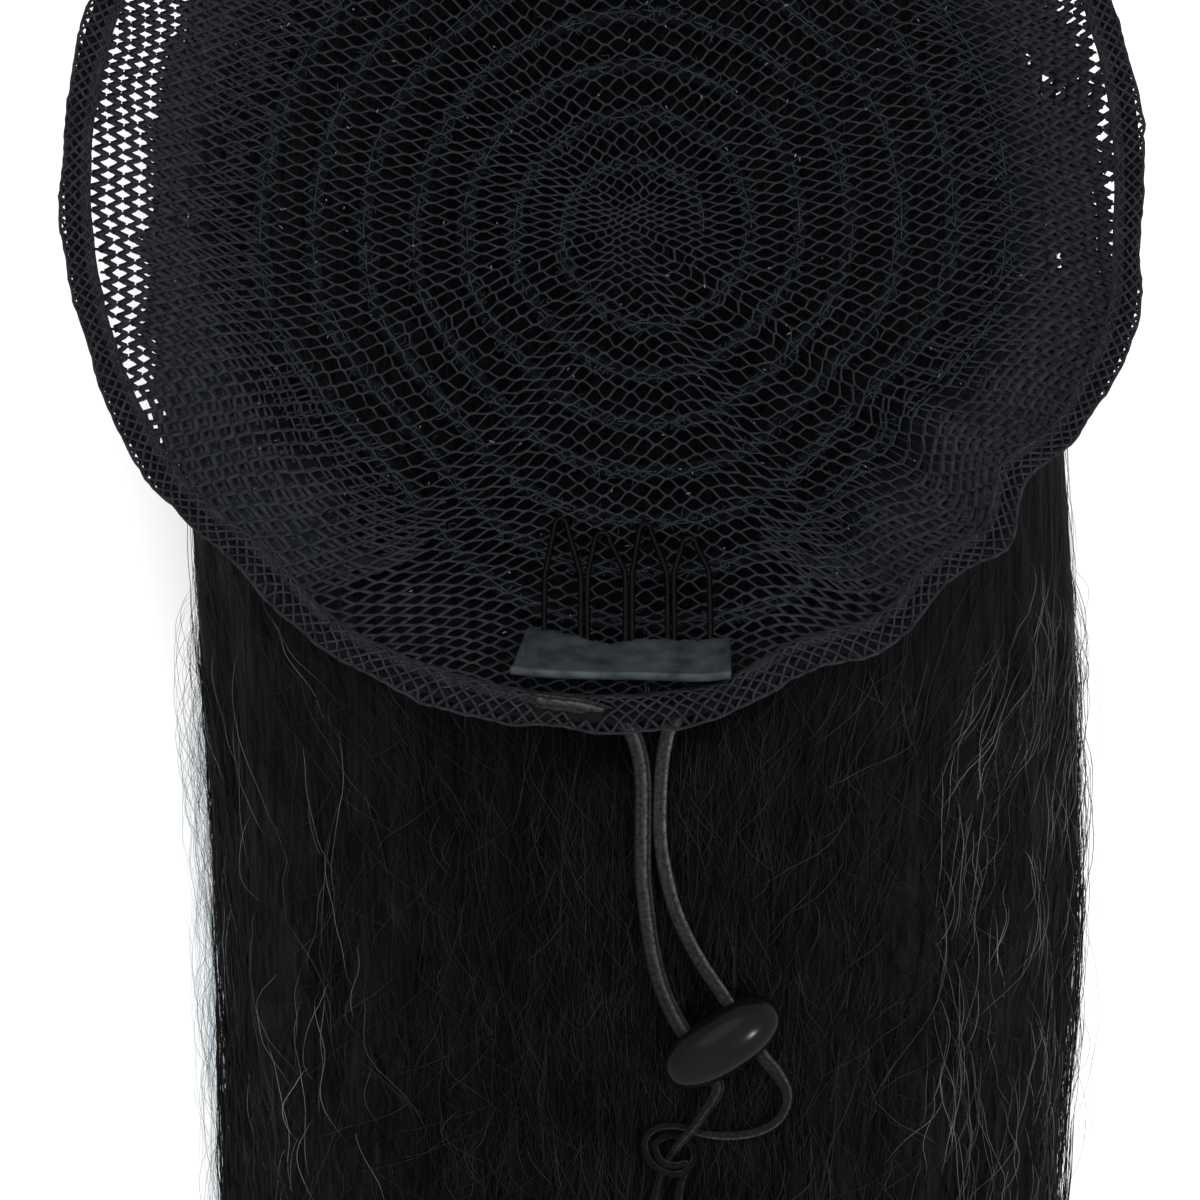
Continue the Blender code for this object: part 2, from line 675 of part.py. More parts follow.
def build_comb(collection):
    """One wire bent into four teeth, with short turns at the foot between them."""
    points = []
    for index, (left, right, tip_x, tip_y, tip_width) in enumerate(COMB_TEETH):
        left_x = left * MM
        right_x = right * MM
        top_y = tip_y * MM
        middle = tip_x * MM
        half_tip = 0.5 * tip_width * MM
        corner = TIP_CORNER_SHARE * half_tip
        bend_low_y = COMB_LEG_TOP_Y - LEG_BEND_BELOW
        bend_high_y = COMB_LEG_TOP_Y + LEG_BEND_ABOVE
        outline = [
            (left_x, foot_line(left_x)),
            (left_x, bend_low_y),
            (left_x + LEG_LEAN_SHARE * (middle - left_x), bend_high_y),
            (middle - half_tip, top_y - TIP_SHOULDER_DROP),
            (middle - corner, top_y - TIP_CORNER_DROP),
            (middle, top_y),
            (middle + corner, top_y - TIP_CORNER_DROP),
            (middle + half_tip, top_y - TIP_SHOULDER_DROP),
            (right_x + LEG_LEAN_SHARE * (middle - right_x), bend_high_y),
            (right_x, bend_low_y),
            (right_x, foot_line(right_x)),
        ]
        if index < len(COMB_TEETH) - 1:
            turn_y = foot_line(right_x + 0.5 * COMB_PAIR_SPACING) - FOOT_TURN_DEPTH
            outline.append((right_x + 0.25 * COMB_PAIR_SPACING, turn_y))
            outline.append((right_x + 0.75 * COMB_PAIR_SPACING, turn_y))
        points.extend(Vector((x, y, comb_height(x, y))) for x, y in outline)
    add_cord("comb", points, COMB_WIRE_RADIUS, "comb_wire", collection)


def build_comb_tape(collection):
    """A felt strip folded over the comb's foot, open towards the teeth."""
    slope = math.radians(COMB_SLOPE_DEG)
    along = Vector((0.0, math.cos(slope), -math.sin(slope)))
    across = Vector((0.0, math.sin(slope), math.cos(slope)))
    slot = COMB_WIRE_RADIUS + SEAT_GAP
    outer = slot + TAPE_LAYER
    fold = -(FOOT_TURN_DEPTH + COMB_WIRE_RADIUS + SEAT_GAP + TAPE_FOLD_ROOM)
    fold_corner = fold - 0.5 * TAPE_LAYER
    rings = []
    for index in range(TAPE_STATIONS):
        share = index / (TAPE_STATIONS - 1)
        x = TAPE_LEFT_X + (TAPE_RIGHT_X - TAPE_LEFT_X) * share
        swing = math.sin(2.0 * math.pi * (TAPE_WAVE_TURNS * share + TAPE_WAVE_START))
        reach = fold - TAPE_LAYER + TAPE_LENGTH_ALONG + TAPE_EDGE_WAVE * swing
        base = Vector((x, foot_line(x), comb_height(x, foot_line(x))))
        profile = (
            (fold - TAPE_LAYER, -TAPE_FOLD_CORNER * outer),
            (fold_corner, -outer),
            (reach - TAPE_BACK_SHORTER, -outer),
            (reach - TAPE_BACK_SHORTER, -slot),
            (fold, -slot),
            (fold, slot),
            (reach, slot),
            (reach, outer + TAPE_FACE_WAVE * swing),
            (fold_corner, outer),
            (fold - TAPE_LAYER, TAPE_FOLD_CORNER * outer),
        )
        rings.append([base + along * t + across * n for t, n in profile])
    add_mesh("comb_tape", loft(rings), "felt_tape", collection)


def build_weft(collection):
    """A flat strip in a spiral that follows the outside of the net."""
    rings = []
    angle_deg = 0.0
    radius = WEFT_START_RADIUS
    while radius < WEFT_END_RADIUS:
        dent = sum(depth * wave(angle_deg, centre, half) for centre, half, depth in WEFT_DENTS)
        row_radius = radius * (1.0 - dent * radius / WEFT_END_RADIUS)
        ring = []
        for side, drop in ((-0.5, 0.0), (0.5, 0.0), (0.5, 1.0), (-0.5, 1.0)):
            reach = row_radius + side * WEFT_WIDTH
            x = CAP_CENTRE.x + WEFT_CENTRE_OFFSET.x + reach * math.cos(math.radians(angle_deg))
            y = CAP_CENTRE.y + WEFT_CENTRE_OFFSET.y + reach * math.sin(math.radians(angle_deg))
            outside = bowl_height_at(x, y) - outer_drop(x, y)
            ring.append(Vector((x, y, outside - WEFT_SEAT - drop * WEFT_THICKNESS)))
        rings.append(ring)
        turn_deg = math.degrees(WEFT_STEP / radius)
        angle_deg += min(turn_deg, WEFT_END_TRIM_DEG)
        radius = WEFT_START_RADIUS + WEFT_PITCH * angle_deg / 360.0
    add_mesh("weft_track", loft(rings), "weft_thread", collection)


def outer_drop(x, y):
    """Upright thickness of the sloping net wall at a point."""
    step = 0.5 * MM
    slope_x = (bowl_height_at(x + step, y) - bowl_height_at(x - step, y)) / (2.0 * step)
    slope_y = (bowl_height_at(x, y + step) - bowl_height_at(x, y - step)) / (2.0 * step)
    return NET_THICKNESS * math.sqrt(1.0 + slope_x ** 2 + slope_y ** 2)


def hair_row(y_mm):
    """Left edge, right edge, crest, waist (metres) and fullness of the hair at a place."""
    rows = HAIR_SECTIONS
    if y_mm >= rows[0][0]:
        values = rows[0][1:]
    elif y_mm <= rows[-1][0]:
        values = rows[-1][1:]
    else:
        index = next(i for i in range(len(rows) - 1) if rows[i + 1][0] <= y_mm)
        above = rows[index]
        below = rows[index + 1]
        share = (above[0] - y_mm) / (above[0] - below[0])
        values = [a + (b - a) * share for a, b in zip(above[1:], below[1:])]
    left, right, crest, waist, fullness = values
    return left * MM, right * MM, crest * MM, waist * MM, fullness


def under_cap_limit(x, y):
    """Highest place for hair under the net and its weft, or None away from the cap."""
    dx = x - CAP_CENTRE.x
    dy = y - CAP_CENTRE.y
    radius = math.hypot(dx, dy)
    angle_deg = math.degrees(math.atan2(dy, dx))
    reach = cord_line_radius(angle_deg)
    if radius > reach + RIM_BAND:
        return None
    inside = min(radius, reach)
    under = bowl_height(angle_deg, inside) - NET_WALL_ALLOWANCE
    if radius > reach - RIM_BAND:
        under -= RIM_HAIR_DROP
    return under - WEFT_SEAT - WEFT_THICKNESS - HAIR_SEAT


def hair_top(x, y):
    """Height of the hair's upper side over a world point."""
    left, right, crest, waist, fullness = hair_row((y - CAP_CENTRE.y) / MM)
    middle = CAP_CENTRE.x + 0.5 * (left + right)
    share = min(1.0, abs(x - middle) / (0.5 * (right - left)))
    height = waist + (crest - waist) * (1.0 - share ** fullness) ** (1.0 / fullness)
    limit = under_cap_limit(x, y)
    return height if limit is None else min(height, limit)


def hair_section(y_mm):
    """Closed section of the hair's body across x at one place."""
    left, right, crest, waist, fullness = hair_row(y_mm)
    middle = CAP_CENTRE.x + 0.5 * (left + right)
    half = 0.5 * (right - left)
    y = CAP_CENTRE.y + y_mm * MM
    points = []
    for low_deg in (-HAIR_FLOOR_ANGLE_DEG, -HAIR_LOW_ANGLE_DEG):
        x = middle + half * math.cos(math.radians(low_deg))
        drop = math.sin(math.radians(low_deg)) / math.sin(math.radians(HAIR_FLOOR_ANGLE_DEG))
        points.append(Vector((x, y, waist * (1.0 + drop))))
    for index in range(HAIR_TOP_POINTS):
        turn = math.pi * index / (HAIR_TOP_POINTS - 1)
        side = math.cos(turn)
        if index in (0, HAIR_TOP_POINTS - 1):
            points.append(Vector((middle + half * side, y, waist)))
            continue
        x = middle + half * math.copysign(abs(side) ** (2.0 / fullness), side)
        points.append(Vector((x, y, hair_top(x, y))))
    for low_deg in (-HAIR_LOW_ANGLE_DEG, -HAIR_FLOOR_ANGLE_DEG):
        x = middle - half * math.cos(math.radians(low_deg))
        drop = math.sin(math.radians(low_deg)) / math.sin(math.radians(HAIR_FLOOR_ANGLE_DEG))
        points.append(Vector((x, y, waist * (1.0 + drop))))
    return points


def hair_lock(row):
    """One tapered lock along the hair's upper side."""
    root_x, root_y, tip_x, tip_y, width, thickness, rise = (value * MM for value in row)
    rings = []
    for station in range(LOCK_STATIONS):
        share = station / (LOCK_STATIONS - 1)
        bow = LOCK_BOW * math.sin(math.pi * share)
        x = CAP_CENTRE.x + root_x + (tip_x - root_x) * share + bow
        y = CAP_CENTRE.y + root_y + (tip_y - root_y) * share
        swell = min(1.0, LOCK_ROOT_SHARE + LOCK_GROWTH * share) * (1.0 - share ** LOCK_TAPER_POWER)
        size = LOCK_TIP_SHARE + (1.0 - LOCK_TIP_SHARE) * swell
        half_width = 0.5 * width * size
        half_thickness = 0.5 * thickness * size
        start = hair_top(x, y) + rise * swell - LOCK_SINK - half_thickness
        centre_z = max(start, half_thickness + LOCK_FLOOR_GAP)
        ring = []
        for side in range(LOCK_SIDES):
            turn = 2.0 * math.pi * (side + 0.5) / LOCK_SIDES
            ring.append(Vector((
                x + half_width * math.cos(turn),
                y,
                centre_z + half_thickness * math.sin(turn),
            )))
        rings.append(ring)
    return loft(rings)


def build_hair(collection, cutters):
    """The hair's body under and below the cap, with its locks fused on."""
    body = loft([hair_section(y_mm) for y_mm in HAIR_STATIONS_MM])
    hair = add_mesh("hair", body, "hair_fibre", collection, 50.0)
    for index, row in enumerate(HAIR_LOCKS):
        lock = add_mesh(f"lock_{index + 1}", hair_lock(row), "hair_fibre", cutters)
        combine(hair, lock, "UNION")


def clear_scene():
    for thing in list(bpy.data.objects):
        bpy.data.objects.remove(thing)


def new_collection(name):
    collection = bpy.data.collections.new(name)
    bpy.context.scene.collection.children.link(collection)
    return collection


def main():
    clear_scene()
    collection = new_collection(COLLECTION_NAME)
    cutters = new_collection("cutters")
    build_cap_net(collection)
    build_rim_casing(collection, cutters)
    build_drawstring(collection)
    build_knot(collection)
    build_toggle(collection, cutters)
    build_comb(collection)
    build_comb_tape(collection)
    build_weft(collection)
    build_hair(collection, cutters)
    for cutter in cutters.objects:
        cutter.hide_render = True
        cutter.display_type = "WIRE"


main()
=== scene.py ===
"""Looks of the drawstring ponytail hairpiece: net, hem, elastic, comb, cord stop and hair.

Everything is in metres in the frame's own axes: +Z up, the hair falling towards -Y. Tables are in
millimetres where their heading says so.
"""
import math

import bmesh
import bpy
import numpy as np
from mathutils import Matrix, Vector, noise
from mathutils.bvhtree import BVHTree


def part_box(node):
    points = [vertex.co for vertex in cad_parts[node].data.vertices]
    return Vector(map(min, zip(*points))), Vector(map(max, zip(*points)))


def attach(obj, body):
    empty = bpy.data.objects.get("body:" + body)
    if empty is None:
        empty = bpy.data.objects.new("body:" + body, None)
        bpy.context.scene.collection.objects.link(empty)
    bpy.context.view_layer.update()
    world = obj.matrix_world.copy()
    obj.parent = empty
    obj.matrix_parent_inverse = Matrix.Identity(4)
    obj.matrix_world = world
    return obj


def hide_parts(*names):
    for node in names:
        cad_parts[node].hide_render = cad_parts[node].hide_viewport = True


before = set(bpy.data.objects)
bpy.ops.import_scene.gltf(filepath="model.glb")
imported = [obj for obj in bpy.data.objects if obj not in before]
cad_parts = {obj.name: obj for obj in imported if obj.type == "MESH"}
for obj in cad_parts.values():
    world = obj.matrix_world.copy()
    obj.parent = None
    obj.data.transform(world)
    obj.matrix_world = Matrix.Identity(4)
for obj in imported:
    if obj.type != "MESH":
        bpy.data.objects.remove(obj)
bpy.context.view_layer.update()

MM = 0.001
random = np.random.default_rng(11)

# Camera: straight above, photo-up along +Y
CAMERA_PLACE = (-0.34 * MM, 93.7 * MM, 740.0 * MM)
CAMERA_FIELD_DEG = 13.55

# Light: name, place, size, power
LIGHTS = (
    ("key_light", (0.66, -0.14, 1.20), 0.12, 7.0),
    ("fill_light", (-0.30, 0.62, 1.35), 0.90, 4.0),
)
LIGHT_AIM = (0.01, 0.06, 0.03)
ROOM_LIGHT = 1.6
FLOOR_HALF = 3.0

# Cap, as in part.py
CAP_CENTRE = np.array([0.0, 150.0 * MM])
CAP_RADIUS = 73.8 * MM
BOWL_BOTTOM_Z = 26.0 * MM
RIM_Z = 54.0 * MM
BOWL_POWER = 2.6
CASING_INSET = 3.0 * MM
CASING_SLOPE_DEG = 42.0

# Waves of the rim: compass angle, half width of the wave (both degrees), outwards and upwards (mm)
RIM_WAVES = (
    (270.0, 60.0, 0.2, -5.0), (227.0, 14.0, -2.2, 3.0), (293.0, 11.0, -2.3, 1.0),
    (311.0, 8.0, -2.0, 1.5), (325.0, 8.0, -3.6, 3.0), (345.0, 12.0, 1.2, 1.0), (90.0, 50.0, 0.4, 1.5),
)

# Soft folds that run up the bowl: compass angle, half width (degrees), rise at the rim (mm)
BOWL_FOLDS = (
    (222.0, 16.0, 2.4), (240.0, 10.0, -1.2), (318.0, 14.0, 2.6), (333.0, 9.0, -1.4), (20.0, 14.0, 1.4),
    (160.0, 14.0, 1.4), (105.0, 16.0, 1.6), (65.0, 16.0, -1.2),
)
FOLD_START_SHARE = 0.45
FADE_START_SHARE = 0.85
FADE_AT_RIM = 0.5
GATHER_COUNT = 9
GATHER_RISE = 0.7 * MM

# Net: size of a diamond in the flat cloth, thread, and how the cloth is drawn together
NET_CELL_WIDTH = 4.3 * MM
NET_CELL_HEIGHT = 1.90 * MM
NET_THREAD_RADIUS = 0.20 * MM
NET_LINK = 0.34 * MM
NET_EDGE_THICKENING = 0.15
NET_SIDE_THICKENING = 1.5
NET_SIDE_SQUEEZE = 0.14
NET_SQUEEZE_START = 42.0 * MM
NET_SQUEEZE_FADE = 30.0 * MM
NET_SLOPE_SHARE = 0.5
NET_SAG = 0.22
NET_SAG_ROUNDING = 8.0 * MM
NET_SAG_WIDTH = 42.0 * MM
NET_SAG_END = -50.0 * MM
NET_SAG_FADE = 70.0 * MM
NET_DROP = 0.35 * MM
NET_BUNCH = 7.0 * MM
NET_BUNCH_REACH = 5.0 * MM
NET_SHIFT = np.array([3.2 * MM, -1.9 * MM])
NET_EDGE_START = 0.78
NET_EDGE_FADE = 0.08
NET_CROSSING = 0.06 * MM
NET_THREAD_SWELL = (1.1, 0.95, 1.1)
NET_KNOT_SIZE = 1.3
NET_JITTER = 0.09 * MM
# Layers of net: shift in shares of a cell, and how far each lies behind the first
NET_LAYERS = ((0.0, 0.0, 0.0), (0.3, 0.3, 0.35 * MM), (-0.2, 0.15, 0.6 * MM))
# Waves of the flat net, by turns along and across: size, reach, and the wave that bends each one
# (strength, reach, phase); sizes and reaches in mm
NET_WAVES = (
    (0.42, 3.1, 1.7, 17.0, 0.0), (0.294, 4.3, 2.1, 13.0, 0.0), (0.9, 8.7, 2.6, 23.0, 0.8),
    (0.9, 11.3, 2.2, 19.0, 1.9),
)

# Where the net is drawn longer towards the rim: compass angle, half width (degrees), share
NET_STRETCHES = (
    (90.0, 60.0, 0.20), (230.0, 30.0, 0.22), (310.0, 30.0, 0.22), (270.0, 40.0, 0.05),
)

# Sewn rows of weft, as in part.py, and how much the net bunches at them
WEFT_CENTRE = CAP_CENTRE + np.array([5.9 * MM, -4.2 * MM])
WEFT_START_RADIUS = 8.0 * MM
WEFT_END_RADIUS = 56.0 * MM
WEFT_PITCH = 7.0 * MM
WEFT_BUNCH = 0.26 * MM
WEFT_DENTS = (
    (222.0, 34.0, 0.10), (318.0, 34.0, 0.11),
)
STITCH_STEP = 0.5 * MM
STITCH_RADIUS = 0.085 * MM
STITCH_RUN = (5, 16)
STITCH_SKIP = (0, 10)
STITCH_TUFTS = 2200
TUFT_SIZE = 0.62
TUFT_RISE = (-0.3, 0.12, -0.3)
# Short fibre ends on the net, coloured bright as painted glints
FLECKS = 150
FLECK_SIZE = 1.1
FLECK_RISE = (-0.15, 0.12, -0.15)
WEFT_BAND_DEPTH = 2.3 * MM
WEFT_BAND = ((-1.3, -0.4), (-1.0, 0.25), (0.0, 0.45), (1.0, 0.25), (1.3, -0.4), (0.0, -0.6))

# Net bunched against the wall at both sides: compass angle, share of the radius where it ends
GATHER_START_SHARE = 0.76
GATHER_TAPER_DEG = 16.0
GATHER_THREAD_REACH = 0.035
GATHER_THREAD_FADE = 0.12
GATHER_STEP_DEG = 0.6
GATHER_ROWS = 26
GATHER_DROP = 1.0 * MM
GATHER_FOLD = 0.22 * MM
GATHER_THICKNESS = 0.3 * MM
LEFT_GATHERS = (
    (112.0, 0.80), (135.0, 0.86), (157.0, 0.865), (180.0, 0.868), (195.0, 0.90), (207.0, 0.95),
    (216.0, 0.985), (232.0, 0.985), (244.0, 0.75),
)
RIGHT_GATHERS = (
    (-66.0, 0.75), (-52.0, 0.985), (-14.0, 0.985), (-7.0, 0.955), (5.0, 0.945), (15.0, 0.945),
    (24.0, 0.905), (42.0, 0.87), (68.0, 0.80),
)
# Small gaps left in it: x and y (mm)
GATHER_GAPS = (
    (-54.2, 155.6), (-55.6, 151.4), (-57.0, 146.2), (-55.2, 145.0), (-53.4, 157.8), (58.4, 168.0),
    (61.2, 165.4), (63.0, 163.2), (60.4, 147.0), (62.6, 140.4),
)
GATHER_GAP_RADIUS = 0.8 * MM
GATHER_GAP_CLEARANCE = 1.3 * MM

# Hem: net folded round the elastic, its section along and across the hem (mm)
HEM_SECTION = (
    (-2.8, 0.45), (-1.8, 0.95), (-0.8, 1.38), (0.0, 1.5), (0.8, 1.34), (1.6, 0.85), (2.3, 0.5),
)
HEM_CORE = (
    (-2.7, 0.2), (-1.8, 0.6), (-0.9, 0.5), (0.0, 0.35), (0.9, 0.5), (1.7, 0.45), (2.5, 0.3), (2.8, 0.1),
)
HEM_FOLD_PLACE = 0.82
HEM_EDGE_THINNING = 0.75
HEM_PUCKER = 0.13
HEM_EDGE_LIFT = 0.28 * MM
HEM_CORE_STATIONS = 480
HEM_TURN_STEPS = 1441
HEM_JITTER = (0.10, 0.010)
HEM_COLUMNS = 540
HEM_ROWS = 8
HEM_SIDE_CROWDING = 0.37
HEM_INNER_SHARE = 0.62
HEM_INNER_LOSS = 0.27
HEM_TIP_REACH = 3.4 * MM
HEM_TIP_REACH_LOW = 1.1 * MM
HEM_THREAD_RADIUS = 0.23 * MM
HEM_EDGE_THREAD = 1.25
RIM_ELASTIC_SPAN_DEG = (286.4, 623.4)
RIM_ELASTIC_STATIONS = 620
RIM_ELASTIC_WIDTH = 1.9 * MM
RIM_ELASTIC_LIFT = 0.45 * MM
RUFFLE_COUNT = 16
RUFFLE_REACH = 0.4 * MM
MOUTH_CLEARANCE = 1.45 * MM
MOUTH_Y = (66.0 * MM, 80.5 * MM)

# Free strands of the drawstring: the routes of part.py, then their way through the knot (mm)
LEFT_ROUTE = (
    (-9.1, 79.9, 49.6), (-5.8, 79.5, 49.7), (-2.4, 79.0, 49.4), (1.2, 77.9, 48.7), (3.8, 75.9, 47.2),
    (5.1, 72.5, 45.6), (5.6, 68.4, 44.2), (5.6, 62.0, 43.2), (5.6, 56.0, 42.4), (6.2, 50.0, 41.9),
    (7.0, 44.8, 42.0), (8.3, 40.0, 42.7), (10.5, 35.3, 43.5), (13.5, 30.7, 43.6), (15.8, 27.1, 43.5),
    (15.4, 24.9, 42.4), (14.1, 22.8, 41.0), (12.6, 20.6, 40.6), (10.3, 17.9, 39.9), (9.0, 15.6, 38.2),
    (8.0, 13.4, 37.9), (7.2, 9.8, 37.7), (6.2, 6.0, 37.3), (5.9, 2.6, 36.9), (6.4, -0.8, 36.5),
)
RIGHT_ROUTE = (
    (19.2, 82.6, 50.4), (16.3, 81.3, 49.9), (13.2, 80.2, 49.4), (10.7, 78.6, 48.8), (9.2, 76.2, 47.6),
    (8.4, 72.6, 45.8), (8.0, 68.4, 44.2), (7.9, 62.0, 43.2), (8.5, 57.0, 42.5), (9.8, 51.6, 42.1),
    (11.6, 47.2, 42.2), (13.8, 43.3, 42.8), (16.5, 39.3, 43.5), (19.5, 34.7, 43.6), (21.9, 31.0, 43.5),
    (24.3, 28.0, 42.3), (25.6, 25.0, 40.5), (24.6, 21.8, 39.0), (21.6, 19.9, 38.5), (17.6, 19.3, 38.4),
    (13.9, 19.6, 38.4), (10.6, 20.6, 38.4), (7.6, 20.4, 38.5), (5.9, 18.6, 38.8), (6.5, 16.0, 39.3),
    (8.8, 14.3, 39.8), (11.3, 14.4, 39.6), (12.7, 16.3, 38.7), (12.0, 18.5, 37.5), (9.6, 19.3, 37.6),
    (7.4, 18.3, 39.2), (8.0, 16.2, 40.6), (9.9, 15.4, 40.7), (11.5, 15.6, 39.8), (11.7, 14.6, 38.3),
    (10.9, 12.6, 37.9), (10.5, 9.6, 37.7), (11.4, 6.2, 37.3), (12.6, 3.2, 37.0), (13.2, 0.2, 36.6),
)
CORD_STEP = 0.45 * MM
LEFT_CORD_WIDTH = 2.4 * MM
RIGHT_CORD_WIDTH = 2.0 * MM
CORD_FLATNESS = 0.72
CORD_UNIT = 0.1
KNOT_PLACE = np.array([9.3 * MM, 17.3 * MM, 39.3 * MM])
KNOT_REACH = 8.5 * MM
LEFT_KNOT_ENTRY = np.array([9.4 * MM, 16.2 * MM, 38.6 * MM])
RIGHT_KNOT_ENTRY = np.array([12.4 * MM, 20.0 * MM, 38.4 * MM])
KNOT_THINNING = 0.22
KNOT_SHADE = 0.42
KNOT_SHADE_FADE = 0.04
LOWER_CORD_SHARE = 0.66
LOWER_CORD_SHADE = 0.42
LOWER_START_Y = 29.0 * MM
LOWER_FADE = 5.0 * MM
TAIL_START_Y = 12.5 * MM
TAIL_FADE = 4.0 * MM
TAIL_SWELL = 0.7
CUT_END_THINNING = 0.12
LOWER_CORD_Y = (24.0 * MM, 60.0 * MM)

# Tones across the elastic: place from 0 to 1, tone. Over the elastic's dark tone they paint its light:
# painted highlights on the ribs, painted shade in the grooves and at the sides
RIM_TONES = ((0.0, 0.006), (0.5, 0.023), (1.0, 0.006))
LEFT_TONES = (
    (0.03, 0.005), (0.12, 0.017), (0.22, 0.002), (0.36, 0.041), (0.46, 0.021), (0.62, 0.010),
    (0.80, 0.012), (0.97, 0.004),
)
RIGHT_TONES = (
    (0.03, 0.009), (0.13, 0.055), (0.24, 0.030), (0.36, 0.010), (0.60, 0.014), (0.85, 0.010),
    (0.97, 0.004),
)

# Half of a ribbed cord's section, in half widths
RIB_SECTION = (
    (-1.0, 0.0), (-0.95, 0.34), (-0.72, 0.52), (-0.46, 0.40), (-0.36, 0.40), (0.0, 0.66), (0.36, 0.40),
    (0.46, 0.40), (0.72, 0.52), (0.95, 0.34),
)

# Comb, as in part.py: x of the left and right leg at the foot, x and y of the tip, tip width (mm)
COMB_TEETH = (
    (-8.4, -3.6, -6.2, 105.6, 1.9), (-2.3, 2.6, -0.4, 103.6, 2.3), (3.9, 8.4, 5.6, 104.8, 1.9),
    (9.7, 14.4, 11.7, 102.8, 2.3),
)
COMB_WIRE_RADIUS = 0.44 * MM
COMB_PAIR_SPACING = 1.3 * MM
COMB_PAIR_SQUEEZE = 0.19
COMB_SHIFT = (0.4 * MM, -0.5 * MM)
COMB_FOOT_Y = 85.0 * MM
COMB_LEG_TOP_Y = 98.2 * MM
COMB_FOOT_Z = 47.2 * MM
COMB_SLOPE_DEG = 33.3
COMB_MIDDLE_X = 0.5 * MM
COMB_HALF_WIDTH = 13.0 * MM
COMB_CUP = 1.9 * MM
FOOT_BOW = 1.4 * MM
FOOT_TURN_DEPTH = 0.52 * MM

# Felt tape over the comb's foot: its folded lower edge and its cut upper edge, x and y (mm)
TAPE_LOWER = ((-12.6, 83.9), (-5.8, 83.3), (5.1, 83.1), (13.0, 82.9), (17.5, 83.3))
TAPE_UPPER = ((-10.4, 89.7), (-5.5, 89.1), (0.5, 87.6), (5.5, 88.2), (12.6, 88.0), (17.4, 88.5))
TAPE_FOLD_REACH = 0.75 * MM
TAPE_HALF_GAP = 1.05 * MM
TAPE_THICKNESS = 0.75 * MM
TAPE_FOLD_TURN = 1.25
# Stitches that show: x, y and length (mm), and whether they lie on the tape
TAPE_STITCHES = ((5.9, 81.3, 1.5, False), (6.3, 81.2, 1.2, False), (-10.9, 86.4, 1.3, True))
TAPE_STITCH_RADIUS = 0.13 * MM

# Cord stop, as in part.py
TOGGLE_CENTRE = (16.5 * MM, 32.7 * MM, 43.6 * MM)
TOGGLE_HALF_LENGTH = 9.0 * MM
TOGGLE_HALF_WIDTH = 4.5 * MM
TOGGLE_HALF_HEIGHT = 4.0 * MM
TOGGLE_TURN_DEG = 33.0
TOGGLE_HOLE_SPACING = 7.2 * MM
TOGGLE_HOLE_RADIUS = 1.4 * MM
TOGGLE_HOLE_SIDES = 32
TOGGLE_GRID = (48, 56)
TOGGLE_SHARP_DEG = 50.0
TOGGLE_FULLNESS = 2.3
TOGGLE_FLAT_SHARE = 0.80
TOGGLE_FLATTENING = 0.7
TOGGLE_SHEEN = 0.17
# Painted shade: the cord stop reflects less on the side facing this way
TOGGLE_SHADED_SIDE = (-0.55, 0.70, -0.15)

# Hair
HAIR_VOXEL = 1.7 * MM
HAIR_TABLE_TURNS = 144
HAIR_TABLE_ROWS = 200
HAIR_END_Y = -178.0 * MM
HAIR_TAIL = 46.0 * MM
HAIR_TAIL_NARROWING = 0.55
HAIR_TAIL_LOWERING = 0.75
HAIR_PROBE_X = 120.0 * MM
HAIR_PROBE_HEIGHTS = (10.0 * MM, 4.0 * MM)
# Grooves between the locks: strength, width, length and a shift of the noise
HAIR_GROOVES = ((0.65, 0.0055, 0.085, 0.0), (0.5, 0.0022, 0.034, 9.0))
HAIR_GROOVE_DEPTH = 1.5 * MM
HAIR_SINK_UNDER_CAP = 0.9 * MM
HAIR_FREE_RADIUS = 68.0 * MM
HAIR_FREE_FADE = 12.0 * MM
HAIR_STRAND_POINTS = 14
HAIR_SHADE = (0.62, 1.25)
HAIR_SHADE_REACH = (14.0 * MM, 46.0 * MM)
HAIR_AXIS = (4.0 * MM, 14.0 * MM)
# Length of one crimp of the kinky straight fibre
CRIMP_LENGTH = 7.0 * MM

